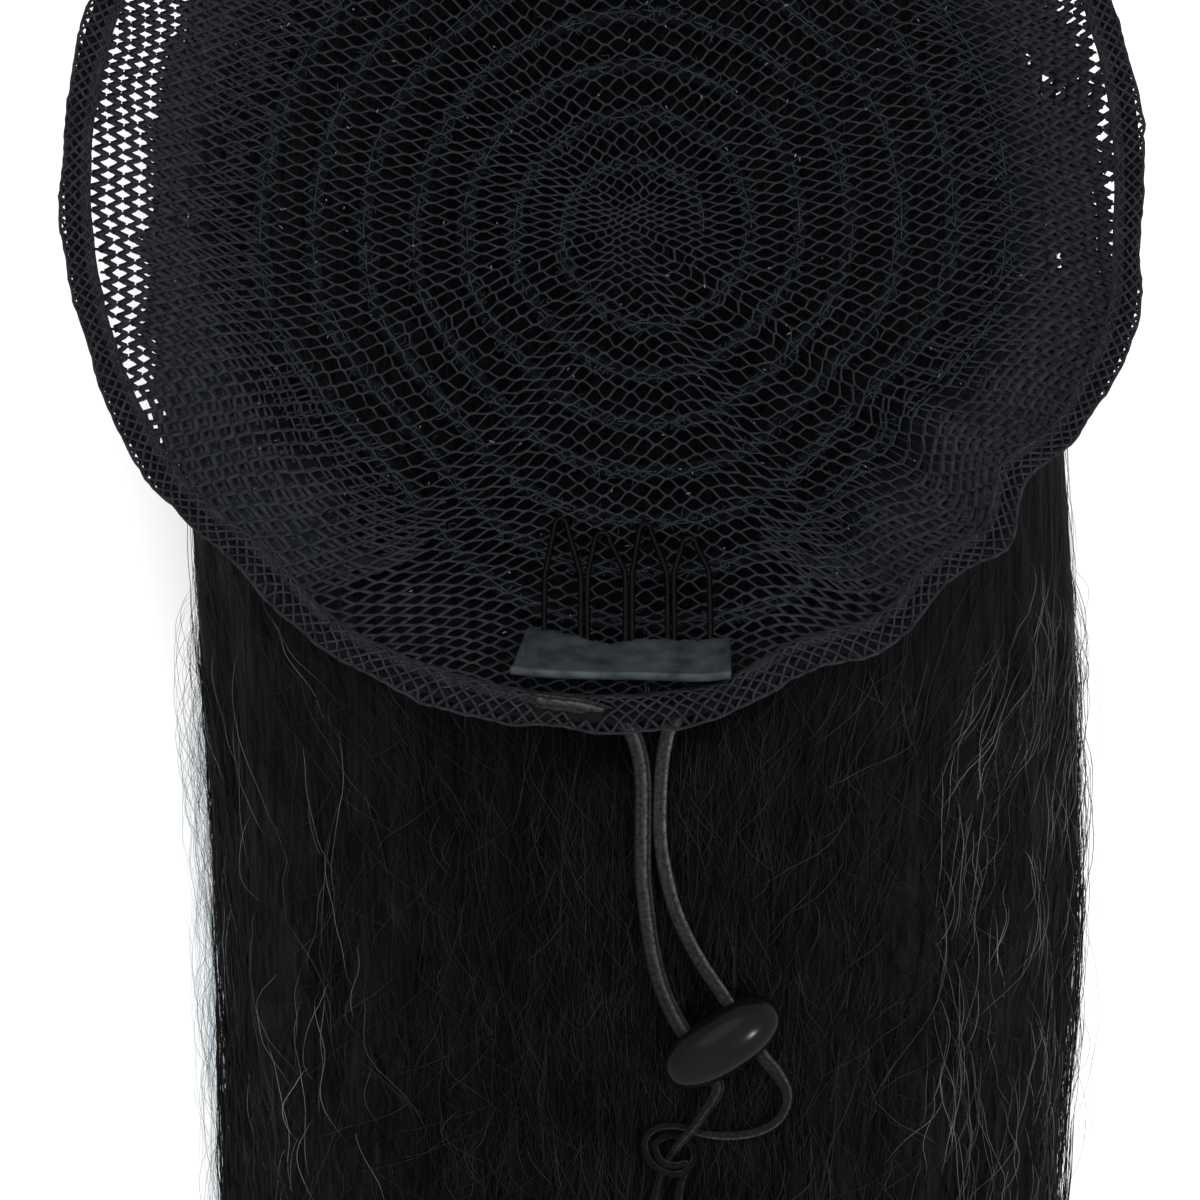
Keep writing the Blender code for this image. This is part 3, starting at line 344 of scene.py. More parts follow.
# Groups of strands: name, count, share of each tone, root's y from and to (None is the top),
# length from and to, turn about the fall's axis (half the spread over the top, or the left side's
# share and the spread down and up), lean, curl, lift off the surface, width; lengths in mm
HAIR_GROUPS = (
    ("hair_top", 3600, {"dark": 0.72, "mid": 0.25, "light": 0.03}, (4.0, 90.0), (16.0, 40.0), 1.35,
     0.14, 0.16, lambda full, draw: draw(0.0, 0.9) ** 2 * 1.5, (0.06, 0.13)),
    ("hair_sides", 2000, {"dark": 0.66, "mid": 0.30, "light": 0.04}, (0.0, None), (26.0, 50.0),
     (0.5, 0.75, 0.75), 0.10, 0.12, lambda full, draw: draw(0.0, 1.0) ** 2 * 1.2, (0.06, 0.15)),
    ("hair_length", 2800, {"dark": 0.66, "mid": 0.30, "light": 0.04}, (-166.0, 14.0), (42.0, 66.0),
     math.pi / 2 + 0.5, 0.06, 0.05, lambda full, draw: draw(0.0, 1.0) ** 2 * 1.5, (0.09, 0.22)),
    ("hair_flyaway", 2600, {"mid": 0.72, "light": 0.28}, (-20.0, 90.0), (4.0, 13.0), 1.25,
     0.40, 0.55, lambda full, draw: draw(0.2, 1.8), (0.05, 0.10)),
    # Edge strands, most of them in the rim tone: a painted sheen
    ("hair_rim", 1300, {"mid": 0.40, "rim": 0.60}, (-160.0, 100.0), (8.0, 26.0), (0.14, 0.1, 0.40),
     0.08, 0.08, lambda full, draw: draw(0.5, 2.5), (0.05, 0.11)),
    ("hair_border", 1500, {"dark": 0.62, "mid": 0.36, "light": 0.02}, (-165.0, 92.0), (16.0, 44.0),
     (0.62, 0.12, 0.20), 0.03, 0.03, lambda full, draw: full * draw(0.1, 1.0), (0.09, 0.18)),
    ("hair_veil", 1500, {"dark": 0.4, "mid": 0.6}, (-170.0, 96.0), (9.0, 34.0), (0.86, 0.20, 0.28),
     0.06, 0.08, lambda full, draw: 0.2 + draw(0.0, 1.0) ** 1.4 * 4.8, (0.03, 0.06)),
    ("hair_haze", 2400, {"haze": 1.0}, (-170.0, 96.0), (8.0, 26.0), (0.97, 0.30, -0.14),
     0.04, 0.06, lambda full, draw: full + 0.6 + draw(0.0, 1.0) ** 1.5 * 3.8, (0.03, 0.09)),
)
# How far the edge strands lie out (mm): under the cap, and how much more below it
HAIR_EDGE = (0.5, 1.7)
HAIR_EDGE_Y = 86.0 * MM
HAIR_EDGE_FADE = 50.0 * MM
HAIR_FACE_UP = ("hair_rim", "hair_border", "hair_veil", "hair_haze")
HAIR_LOOSE = ("hair_border", "hair_haze")

# Tones: dark and light of each thread and its grain, and of each shade of hair
THREADS = {
    "net_thread": ((0.0088, 0.0098, 0.0128), (0.0195, 0.0205, 0.0265), 900.0),
    "hem_thread": ((0.0075, 0.0082, 0.0102), (0.0190, 0.0195, 0.0235), 900.0),
    "hem_inside": ((0.0016, 0.002, 0.0022), (0.004, 0.005, 0.0055), 500.0),
    "seam_thread": ((0.010, 0.014, 0.017), (0.026, 0.034, 0.039), 500.0),
    # Fibre ends coloured as painted glints
    "glint_flecks": ((0.05, 0.055, 0.065), (0.17, 0.18, 0.20), 900.0),
    "weft_thread": ((0.001, 0.001, 0.0012), (0.004, 0.005, 0.0055), 700.0),
}
HAIR_SHADES = {
    "dark": ((0.0012, 0.0012, 0.0013), (0.0040, 0.0040, 0.0042)),
    "mid": ((0.0045, 0.0044, 0.0043), (0.0100, 0.0096, 0.0092)),
    "light": ((0.0095, 0.0089, 0.0080), (0.024, 0.0220, 0.0195)),
    # rim: lighter strands at the fall's edges, a painted sheen of backlight
    "rim": ((0.018, 0.019, 0.021), (0.062, 0.066, 0.074)),
    "haze": ((0.30, 0.34, 0.37), (0.46, 0.51, 0.55)),
}


def wave(angle, centre, half_width):
    """A smooth wave over compass angles: 1 at its centre, 0 past its half width."""
    away = (angle - centre + 180.0) % 360.0 - 180.0
    return np.where(np.abs(away) < half_width, 0.5 + 0.5 * np.cos(np.pi * away / half_width), 0.0)


def rim_radius(angle):
    return CAP_RADIUS + MM * sum(out * wave(angle, centre, half) for centre, half, out, up in RIM_WAVES)


def rim_height(angle):
    return RIM_Z + MM * sum(up * wave(angle, centre, half) for centre, half, out, up in RIM_WAVES)


def cord_line_radius(angle):
    return rim_radius(angle) - CASING_INSET


def bowl_height(angle, radius):
    """Height of the net's inner side at compass angles (degrees) and radii about the cap's centre."""
    share = radius / cord_line_radius(angle)
    depth = rim_height(angle) - BOWL_BOTTOM_Z
    growth = np.clip((share - FOLD_START_SHARE) / (1.0 - FOLD_START_SHARE), 0.0, None)
    past = np.clip(share - FADE_START_SHARE, 0.0, None) / (1.0 - FADE_START_SHARE)
    fade = np.clip(1.0 - FADE_AT_RIM * past, 0.0, None)
    rise = MM * sum(up * wave(angle, centre, half) for centre, half, up in BOWL_FOLDS)
    gather = GATHER_RISE * growth * np.sin(np.radians(angle) * GATHER_COUNT)
    return BOWL_BOTTOM_Z + depth * share ** BOWL_POWER + growth * fade * (rise + gather)


def bowl_height_at(x, y):
    dx = x - CAP_CENTRE[0]
    dy = y - CAP_CENTRE[1]
    return bowl_height(np.degrees(np.arctan2(dy, dx)), np.hypot(dx, dy))


def smooth_path(points, step):
    """Points a step apart along a Catmull-Rom curve through the given points."""
    knots = np.asarray(points, float)
    padded = np.vstack([2.0 * knots[0] - knots[1], knots, 2.0 * knots[-1] - knots[-2]])
    t = np.linspace(0.0, 1.0, 24, endpoint=False)[:, None]
    fine = []
    for before, start, end, after in zip(padded, padded[1:], padded[2:], padded[3:]):
        fine.append(0.5 * (
            2.0 * start
            + (end - before) * t
            + (2.0 * before - 5.0 * start + 4.0 * end - after) * t ** 2
            + (3.0 * start - before - 3.0 * end + after) * t ** 3
        ))
    fine = np.vstack([*fine, knots[-1:]])
    lengths = np.concatenate([[0.0], np.cumsum(np.linalg.norm(np.diff(fine, axis=0), axis=1))])
    count = max(2, round(lengths[-1] / step))
    places = np.linspace(0.0, lengths[-1], count + 1)
    return np.stack([np.interp(places, lengths, fine[:, axis]) for axis in range(3)], axis=1)


def path_length(points):
    return float(np.linalg.norm(np.diff(points, axis=0), axis=1).sum())


def ring_profile(sides):
    turns = 2.0 * np.pi * (np.arange(sides) + 0.5) / sides
    return np.stack([np.cos(turns), np.sin(turns)], axis=1)


def sweep(paths, profile, sizes, ups=None, closed_profile=True):
    """Vertices and quads of tubes or ribbons swept along paths.

    paths is (tubes, points, 3); profile is (sides, 2) across and up; sizes multiplies the profile
    and is a number or (tubes, points); ups is the upward direction, one for all or one per point.
    """
    paths = np.asarray(paths, float)
    tubes, count, _ = paths.shape
    sides = len(profile)
    tangents = np.gradient(paths, axis=1)
    tangents /= np.linalg.norm(tangents, axis=2, keepdims=True) + 1e-12
    ups = np.broadcast_to(np.array([0.0, 0.0, 1.0]) if ups is None else ups, paths.shape)
    across = np.cross(tangents, ups)
    across /= np.linalg.norm(across, axis=2, keepdims=True) + 1e-12
    upwards = np.cross(across, tangents)
    sizes = np.broadcast_to(np.asarray(sizes, float), (tubes, count))[:, :, None, None]
    profile = np.asarray(profile, float)
    offsets = across[:, :, None, :] * profile[:, 0, None] + upwards[:, :, None, :] * profile[:, 1, None]
    vertices = (paths[:, :, None, :] + offsets * sizes).reshape(-1, 3)
    ring = np.arange(sides if closed_profile else sides - 1)
    beside = (ring + 1) % sides
    start = (np.arange(tubes)[:, None] * count + np.arange(count - 1)[None, :])[:, :, None] * sides
    quads = np.stack([start + ring, start + beside, start + sides + beside, start + sides + ring], axis=-1)
    return vertices, quads.reshape(-1, 4)


def mend(mesh, change):
    """Changes a mesh through bmesh and turns its faces outwards."""
    builder = bmesh.new()
    builder.from_mesh(mesh)
    change(builder)
    bmesh.ops.recalc_face_normals(builder, faces=builder.faces)
    builder.to_mesh(mesh)
    builder.free()


def placed(name, data, place=(0.0, 0.0, 0.0)):
    """An object in the scene."""
    item = bpy.data.objects.new(name, data)
    item.location = place
    bpy.context.scene.collection.objects.link(item)
    return item


def grid_faces(rows, columns, ring_rows=False, ring_columns=False):
    """Quads between the points of a grid, which may close on itself either way."""
    index = np.arange(rows * columns).reshape(rows, columns)
    ahead = np.roll(index, -1, axis=0)
    quads = np.stack([index, np.roll(index, -1, axis=1), np.roll(ahead, -1, axis=1), ahead], axis=-1)
    return quads[:rows if ring_rows else rows - 1, :columns if ring_columns else columns - 1].reshape(-1, 4)


def new_piece(name, vertices, faces, materials, nodes=(), indices=None, uvs=None):
    """A mesh object that rides on the hairpiece's one body, in place of the solids in nodes."""
    mesh = bpy.data.meshes.new(name)
    faces = np.asarray(faces, np.int32)
    mesh.vertices.add(len(vertices))
    mesh.vertices.foreach_set("co", np.asarray(vertices, np.float32).ravel())
    mesh.loops.add(faces.size)
    mesh.loops.foreach_set("vertex_index", faces.ravel())
    mesh.polygons.add(len(faces))
    mesh.polygons.foreach_set("loop_start", np.arange(0, faces.size, faces.shape[1], dtype=np.int32))
    for material in materials:
        mesh.materials.append(material)
    if indices is not None:
        mesh.polygons.foreach_set("material_index", np.asarray(indices, np.int32))
    mesh.polygons.foreach_set("use_smooth", np.full(len(faces), True))
    if uvs is not None:
        layer = mesh.uv_layers.new(name="along_across")
        layer.data.foreach_set("uv", np.asarray(uvs, np.float32)[faces.ravel()].ravel())
    mesh.update(calc_edges=True)
    mesh.validate()
    piece = placed(name, mesh)
    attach(piece, "root")
    if nodes:
        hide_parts(*nodes)
    return piece


def joined(parts):
    """Several (vertices, faces) as one."""
    offset = 0
    all_vertices = []
    all_faces = []
    for vertices, faces in parts:
        all_vertices.append(vertices)
        all_faces.append(faces + offset)
        offset += len(vertices)
    return np.vstack(all_vertices), np.vstack(all_faces)


def around(angle, radius, height):
    """World points at compass angles (degrees) about the cap's centre."""
    turn = np.radians(angle)
    x = CAP_CENTRE[0] + radius * np.cos(turn)
    y = CAP_CENTRE[1] + radius * np.sin(turn)
    return np.stack([x, y, height + 0.0 * x], axis=-1)


# Materials


def plain_shader(name, colour, roughness, specular):
    material = bpy.data.materials.new(name)
    material.use_nodes = True
    shader = material.node_tree.nodes["Principled BSDF"]
    shader.inputs["Base Color"].default_value = (*colour, 1.0)
    shader.inputs["Roughness"].default_value = roughness
    shader.inputs["Specular IOR Level"].default_value = specular
    return material, shader


def add_node(material, kind, **values):
    node = material.node_tree.nodes.new(kind)
    for name, value in values.items():
        if hasattr(node, name):
            setattr(node, name, value)
        else:
            node.inputs[name.replace("_", " ")].default_value = value
    return node


def link(material, source, target):
    material.node_tree.links.new(source, target)


def mottle(material, shader, dark, light, scale, stretch=(1.0, 1.0, 1.0), detail=4.0):
    """Colour that varies between two tones with noise, at a scale in features per metre."""
    place = add_node(material, "ShaderNodeTexCoord")
    mapping = add_node(material, "ShaderNodeMapping")
    mapping.inputs["Scale"].default_value = stretch
    texture = add_node(material, "ShaderNodeTexNoise", Scale=scale, Detail=detail)
    ramp = add_node(material, "ShaderNodeValToRGB")
    for element, position, tone in zip(ramp.color_ramp.elements, (0.32, 0.70), (dark, light)):
        element.position = position
        element.color = (*tone, 1.0)
    link(material, place.outputs["Object"], mapping.inputs["Vector"])
    link(material, mapping.outputs["Vector"], texture.inputs["Vector"])
    link(material, texture.outputs["Fac"], ramp.inputs["Fac"])
    link(material, ramp.outputs["Color"], shader.inputs["Base Color"])
    return texture.outputs["Fac"]


def add_bump(material, shader, height, strength, distance):
    bump = add_node(material, "ShaderNodeBump", Strength=strength, Distance=distance)
    link(material, height, bump.inputs["Height"])
    link(material, bump.outputs["Normal"], shader.inputs["Normal"])


def grained(name, dark, light, scale, finish, relief, **pattern):
    """Two mottled tones, with the same grain as relief. finish is roughness and specular."""
    material, shader = plain_shader(name, light, *finish)
    add_bump(material, shader, mottle(material, shader, dark, light, scale, **pattern), *relief)
    return material, shader


def place_axis(material, coordinates, axis):
    place = add_node(material, "ShaderNodeTexCoord")
    split = add_node(material, "ShaderNodeSeparateXYZ")
    link(material, place.outputs[coordinates], split.inputs["Vector"])
    return split.outputs[axis]


def map_range(material, value, source, target):
    node = add_node(material, "ShaderNodeMapRange")
    for name, number in zip(("From Min", "From Max", "To Min", "To Max"), (*source, *target)):
        node.inputs[name].default_value = number
    link(material, value, node.inputs["Value"])
    return node.outputs["Result"]


def scale_colour(material, shader, value, source, target):
    """Multiplies the base colour by a value, mapped from one range to another."""
    colour = shader.inputs["Base Color"].links[0].from_socket
    scale = add_node(material, "ShaderNodeVectorMath", operation="SCALE")
    link(material, colour, scale.inputs[0])
    link(material, map_range(material, value, source, target), scale.inputs["Scale"])
    link(material, scale.outputs["Vector"], shader.inputs["Base Color"])


def thread_material(name, dark, light, scale):
    """Spun thread: uneven tone, fine fuzz in the bump."""
    return grained(name, dark, light, scale, (0.85, 0.04), (0.4, 0.0001))[0]


def folds_material():
    """Net bunched in many layers, darker where the layers thin out."""
    material, shader = grained(
        "net_folds", (0.0018, 0.0022, 0.0028), (0.0072, 0.0086, 0.0104), 900.0, (0.85, 0.04), (0.4, 0.0001),
    )
    scale_colour(material, shader, place_axis(material, "UV", "Y"), (0.0, 0.6), (0.05, 1.0))
    return material


def elastic_material(name, across, dim_from=100.0):
    """Braided elastic: ribs along it, with painted highlights and painted shade given as a tone at each
    place across, and fine wraps.

    It lies in the knot's own shadow from dim_from on, a place along it in cord units.
    """
    material, shader = plain_shader(name, (0.03, 0.03, 0.03), 0.7, 0.04)
    place = add_node(material, "ShaderNodeTexCoord")
    # Painted highlights and painted shade across the ribs
    rib_light = add_node(material, "ShaderNodeValToRGB")
    elements = rib_light.color_ramp.elements
    while len(elements) < len(across):
        elements.new(0.5)
    for element, (position, tone) in zip(elements, across):
        element.position = position
        element.color = (tone, tone, tone * 0.97, 1.0)
    link(material, place_axis(material, "UV", "Y"), rib_light.inputs["Fac"])
    link(material, rib_light.outputs["Color"], shader.inputs["Base Color"])
    speckle = add_node(material, "ShaderNodeTexNoise", Scale=1700.0, Detail=3.0)
    link(material, place.outputs["Object"], speckle.inputs["Vector"])
    # Random speckle, painted shade further down the fall, and painted shade in the knot's own shadow
    for value, source, target in (
        (speckle.outputs["Fac"], (0.3, 0.7), (0.45, 1.6)),
        (place_axis(material, "Object", "Y"), LOWER_CORD_Y, (LOWER_CORD_SHADE, 1.0)),
        (place_axis(material, "UV", "X"), (dim_from, dim_from + KNOT_SHADE_FADE), (1.0, KNOT_SHADE)),
    ):
        scale_colour(material, shader, value, source, target)
    wraps = add_node(material, "ShaderNodeTexWave", bands_direction="X", Scale=60.0, Distortion=1.4)
    link(material, place.outputs["UV"], wraps.inputs["Vector"])
    add_bump(material, shader, wraps.outputs["Fac"], 0.35, 0.0001)
    return material


def felt_material():
    """Pressed felt, with a painted highlight along the upward side of the fold."""
    material, shader = plain_shader("felt_tape", (0.04, 0.05, 0.054), 0.95, 0.04)
    mottle(material, shader, (0.0068, 0.0082, 0.0092), (0.0205, 0.0240, 0.0262), 420.0, (0.6, 1.0, 1.0), 8.0)
    # Painted highlight: the felt is made lighter on the upward side of the fold
    scale_colour(material, shader, place_axis(material, "UV", "Y"), (0.72, 0.98), (1.0, 2.1))
    place = add_node(material, "ShaderNodeTexCoord")
    fuzz = add_node(material, "ShaderNodeTexNoise", Scale=2600.0, Detail=3.0)
    link(material, place.outputs["Object"], fuzz.inputs["Vector"])
    add_bump(material, shader, fuzz.outputs["Fac"], 0.5, 0.0003)
    return material


def gloss_material():
    """Moulded black plastic: nearly smooth, with faint mould marks, and painted shade on the side turned to
    the upper left, where its reflection is turned down.
    """
    material, shader = grained(
        "black_plastic", (0.0016, 0.0015, 0.0019), (0.0032, 0.0030, 0.0037), 160.0, (0.19, 0.085),
        (0.12, 0.0003),
    )
    # Painted shade: the reflection is turned down on the side facing the upper left
    surface = add_node(material, "ShaderNodeNewGeometry")
    facing = add_node(material, "ShaderNodeVectorMath", operation="DOT_PRODUCT")
    facing.inputs[1].default_value = TOGGLE_SHADED_SIDE
    link(material, surface.outputs["Normal"], facing.inputs[0])
    sheen = (0.5 * TOGGLE_SHEEN, 0.12 * TOGGLE_SHEEN)
    shade = map_range(material, facing.outputs["Value"], (-0.25, 0.75), sheen)
    link(material, shade, shader.inputs["Specular IOR Level"])
    return material


def wire_material():
    return grained(
        "comb_wire", (0.0007, 0.0006, 0.0006), (0.0018, 0.0016, 0.0016), 300.0, (0.16, 0.05), (0.2, 0.0002),
    )[0]


def shade_by_side(material, shader):
    """Hair lies in less light in the middle of the fall than at its sides."""
    away = add_node(material, "ShaderNodeMath", operation="ABSOLUTE")
    link(material, place_axis(material, "Object", "X"), away.inputs[0])
    scale_colour(material, shader, away.outputs["Value"], HAIR_SHADE_REACH, HAIR_SHADE)


def hair_core_material():
    """The mass of hair under the single strands: fine streaks along the fall."""
    material, shader = grained(
        "hair_mass", (0.0013, 0.0013, 0.0014), (0.0052, 0.0052, 0.0055), 1500.0, (0.6, 0.015), (0.8, 0.0008),
        stretch=(1.0, 0.05, 1.0), detail=5.0,
    )
    shade_by_side(material, shader)
    return material


def strand_material(name, dark, light):
    material, shader = plain_shader(name, light, 0.5, 0.03)
    mottle(material, shader, dark, light, 120.0)
    shade_by_side(material, shader)
    return material


# Camera, light and floor


def build_stage():
    lens = bpy.data.cameras.new("camera")
    lens.sensor_fit = "HORIZONTAL"
    lens.sensor_width = 36.0
    lens.lens = 18.0 / math.tan(math.radians(0.5 * CAMERA_FIELD_DEG))
    lens.clip_start = 0.02
    lens.clip_end = 20.0
    bpy.context.scene.camera = placed("camera", lens, CAMERA_PLACE)

    world = bpy.data.worlds.new("soft_room")
    world.use_nodes = True
    background = world.node_tree.nodes["Background"]
    background.inputs["Color"].default_value = (1.0, 1.0, 1.0, 1.0)
    background.inputs["Strength"].default_value = ROOM_LIGHT
    bpy.context.scene.world = world
    bpy.context.scene.view_settings.view_transform = "Standard"

    for name, place, size, power in LIGHTS:
        lamp = bpy.data.lights.new(name, "AREA")
        lamp.shape = "DISK"
        lamp.size = size
        lamp.energy = power
        light = placed(name, lamp, place)
        light.rotation_euler = (Vector(LIGHT_AIM) - light.location).to_track_quat("-Z", "Y").to_euler()

    material, shader = plain_shader("pale_floor", (0.9, 0.9, 0.9), 0.9, 0.1)
    mottle(material, shader, (0.88, 0.885, 0.885), (0.92, 0.92, 0.92), 3.0)
    mesh = bpy.data.meshes.new("floor")
    corners = [(x * FLOOR_HALF, y * FLOOR_HALF, 0.0) for x, y in ((-1, -1), (1, -1), (1, 1), (-1, 1))]
    mesh.from_pydata(corners, [], [(0, 1, 2, 3)])
    mesh.materials.append(material)
    placed("floor", mesh, (0.0, 0.0, -0.2 * MM))


# Net


def bowl_tables():
    """Along the bowl's mean profile: shares of the radius, and length in the flat net."""
    share = np.linspace(0.0, 1.02, 200)
    radius = (CAP_RADIUS - CASING_INSET) * share
    height = (RIM_Z - BOWL_BOTTOM_Z) * share ** BOWL_POWER
    arc = np.concatenate([[0.0], np.cumsum(np.hypot(np.diff(radius), np.diff(height)))])
    flat = NET_SLOPE_SHARE * arc + (1.0 - NET_SLOPE_SHARE) * radius
    return share, flat + NET_BUNCH * (1.0 - np.exp(-arc / NET_BUNCH_REACH))


SHARE_TABLE, FLAT_TABLE = bowl_tables()


def weft_phase(x, y):
    """Signed distance, in pitches, from the nearest row of weft."""
    dx = x - WEFT_CENTRE[0]
    dy = y - WEFT_CENTRE[1]
    angle = np.degrees(np.arctan2(dy, dx)) % 360.0
    dent = sum(depth * wave(angle, centre, half) for centre, half, depth in WEFT_DENTS)
    radius = np.hypot(dx, dy)
    radius = radius / (1.0 - dent * np.clip(radius / WEFT_END_RADIUS, 0.0, 1.2))
    turns = (radius - WEFT_START_RADIUS) / WEFT_PITCH - angle / 360.0
    return turns - np.round(turns), radius


def net_point(u, v):
    """World place and share of the radius of points of the flat net."""
    for size, reach, bend, bend_reach, phase in NET_WAVES:
        u = u + size * MM * np.sin(v / (reach * MM) + bend * np.sin(u / (bend_reach * MM) + phase))
        u, v = v, u
    v = v * (1.0 - NET_SIDE_SQUEEZE * np.clip((np.abs(u) - NET_SQUEEZE_START) / NET_SQUEEZE_FADE, 0.0, 1.0))
    hang = np.clip((v - NET_SAG_END) / NET_SAG_FADE, 0.0, 1.0)
    aside = NET_SAG_WIDTH * np.tanh(u / NET_SAG_WIDTH)
    sag = NET_SAG * (np.hypot(aside, NET_SAG_ROUNDING) - NET_SAG_ROUNDING)
    v = v + sag * hang * hang * (3.0 - 2.0 * hang)
    angle = np.degrees(np.arctan2(v, u))
    stretch = sum(share * wave(angle, centre, half) for centre, half, share in NET_STRETCHES)
    flat = np.hypot(u, v) * (1.0 + stretch)
    share = np.interp(flat, FLAT_TABLE, SHARE_TABLE)
    radius = share * cord_line_radius(angle)
    turn = np.radians(angle)
    x = CAP_CENTRE[0] + radius * np.cos(turn) + NET_SHIFT[0] * (1.0 - share ** 2)
    y = CAP_CENTRE[1] + radius * np.sin(turn) + NET_SHIFT[1] * (1.0 - share ** 2)
    phase, row_radius = weft_phase(x, y)
    inside = np.clip((WEFT_END_RADIUS + 3.0 * MM - row_radius) / (4.0 * MM), 0.0, 1.0)
    pull = WEFT_BUNCH * inside * np.sin(2.0 * np.pi * phase) / np.maximum(row_radius, 3.0 * MM)
    x = x - pull * (x - WEFT_CENTRE[0])
    y = y - pull * (y - WEFT_CENTRE[1])
    share = np.where(flat > FLAT_TABLE[-1], 2.0, share)
    return np.stack([x, y, bowl_height_at(x, y) - NET_DROP], axis=-1), share


def gather_reach(angle):
    """Share of the radius up to which the net is bunched, at compass angles."""
    left = np.interp(angle % 360.0, *zip(*LEFT_GATHERS), left=0.0, right=0.0)
    right = np.interp((angle + 180.0) % 360.0 - 180.0, *zip(*RIGHT_GATHERS), left=0.0, right=0.0)
    return np.maximum(left, right)


def in_gathers(point, share):
    angle = np.degrees(np.arctan2(point[..., 1] - CAP_CENTRE[1], point[..., 0] - CAP_CENTRE[0]))
    reach = gather_reach(angle) + GATHER_THREAD_REACH
    density = (share - GATHER_START_SHARE + GATHER_THREAD_FADE) / GATHER_THREAD_FADE
    gaps = np.array(GATHER_GAPS) * MM
    clear = np.linalg.norm(point[..., None, :2] - gaps, axis=-1).min(axis=-1) > GATHER_GAP_CLEARANCE
    return (random.random(share.shape) < density) & (share < reach) & clear


def everywhere(point, share):
    return share >= 0.0


def sidedness(angle):
    """0 where the hem hangs down at the front of the picture, 1 at the sides and the back."""
    return 1.0 - wave(angle, 270.0, 75.0)


def net_threads(shift, drop, chooser):
    """Threads and short links of one layer of net, as paths and their weights."""
    half_u = 0.5 * NET_CELL_WIDTH
    half_v = 0.5 * NET_CELL_HEIGHT
    columns = int(FLAT_TABLE[-1] / half_u) + 1
    rows = int(FLAT_TABLE[-1] * (1.0 + NET_SAG) / (1.0 - NET_SIDE_SQUEEZE) / half_v) + 1
    i, j = np.meshgrid(np.arange(-columns, columns + 1), np.arange(-rows, rows + 1), indexing="ij")
    u = i * half_u + shift[0] + random.normal(0.0, NET_JITTER, i.shape)
    v = j * half_v + shift[1] + random.normal(0.0, NET_JITTER, i.shape)
    point, share = net_point(u, v)
    inside = ((i + j) % 2 == 0) & (share < 1.0) & chooser(point, share)
    lower = np.array([0.0, 0.0, -drop])
    runs = []
    weights = []
    for step in (1, -1):
        near, far = (slice(0, -1), slice(1, None))[::step]
        a = (slice(0, -1), near)
        b = (slice(1, None), far)
        both = inside[a] & inside[b]
        start_u = u[a][both] + NET_LINK
        start_v = v[a][both]
        end_u = u[b][both] - NET_LINK
        end_v = v[b][both]
        middle = net_point(0.5 * (start_u + end_u), 0.5 * (start_v + end_v))[0]
        middle[:, 2] += NET_CROSSING * step
        start = net_point(start_u, start_v)[0]
        end = net_point(end_u, end_v)[0]
        runs.append(np.stack([start, middle, end], axis=1) + lower)
        edge = np.clip((share[a][both] - NET_EDGE_START) / NET_EDGE_FADE, 0.0, 1.0)
        turn = np.degrees(np.arctan2(start[:, 1] - CAP_CENTRE[1], start[:, 0] - CAP_CENTRE[0]))
        thicker = NET_EDGE_THICKENING + NET_SIDE_THICKENING * sidedness(turn)
        weights.append(random.uniform(0.82, 1.15, len(start)) * (1.0 + thicker * edge))
    weights = np.concatenate(weights)[:, None] * np.array(NET_THREAD_SWELL)
    before = net_point(u[inside] - NET_LINK * 1.2, v[inside])[0] + lower
    after = net_point(u[inside] + NET_LINK * 1.2, v[inside])[0] + lower
    return np.vstack(runs), weights, np.stack([before, after], axis=1)


def build_net(thread, fold_material):
    """Diamond net of single threads, drawn into the bowl and bunched at both sides."""
    layers = [
        net_threads((right * NET_CELL_WIDTH, up * NET_CELL_HEIGHT), drop, in_gathers if drop else everywhere)
        for right, up, drop in NET_LAYERS
    ]
    profile = ring_profile(3) * NET_THREAD_RADIUS
    pieces = []
    for name, side in (("net_left", -1.0), ("net_right", 1.0)):
        parts = []
        for runs, weights, links in layers:
            chosen = (runs[:, 1, 0] - CAP_CENTRE[0]) * side >= 0.0
            tied = (links[:, 1, 0] - CAP_CENTRE[0]) * side >= 0.0
            parts.append(sweep(runs[chosen], profile, weights[chosen]))
            parts.append(sweep(links[tied], profile, NET_KNOT_SIZE))
        vertices, faces = joined(parts)
        pieces.append(new_piece(name, vertices, faces, [thread], ["cap_net"]))

    parts = []
    shades = []
    for table in (LEFT_GATHERS, RIGHT_GATHERS):
        angles = np.arange(table[0][0], table[-1][0], GATHER_STEP_DEG)
        outer = np.interp(angles, *zip(*table)) + 0.005 * np.sin(angles * 0.9) + 0.003 * np.sin(angles * 2.3)
        taper = np.clip(np.minimum(angles - angles[0], angles[-1] - angles) / GATHER_TAPER_DEG, 0.02, 1.0)
        across = np.linspace(0.0, 1.0, GATHER_ROWS)
        share = outer[:, None] + (outer - GATHER_START_SHARE)[:, None] * taper[:, None] * (across - 1.0)
        angle = angles[:, None] + 0.0 * share
        radius = share * cord_line_radius(angle)
        folds = GATHER_FOLD * np.sin(np.radians(angle) * 47.0 + 9.0 * share) * np.sin(np.pi * across)
        sheet = around(angle, radius, bowl_height(angle, radius) - GATHER_DROP + folds)
        faces = grid_faces(*angle.shape)[:, [0, 3, 2, 1]]
        vertices = sheet.reshape(-1, 3)
        centres = vertices[faces].mean(axis=1)
        gaps = np.array(GATHER_GAPS) * MM
        away = np.linalg.norm(centres[:, None, :2] - gaps[None], axis=2).min(axis=1)
        parts.append((vertices, faces[away > GATHER_GAP_RADIUS]))
        shades.append(np.stack([angle / 360.0, across + 0.0 * angle], axis=-1).reshape(-1, 2))
    vertices, faces = joined(parts)
    folds = new_piece(
        "net_gathers", vertices, faces, [fold_material], ["cap_net"], uvs=np.vstack(shades),
    )
    wall = folds.modifiers.new("net_layers", "SOLIDIFY")
    wall.thickness = GATHER_THICKNESS
    return pieces, folds


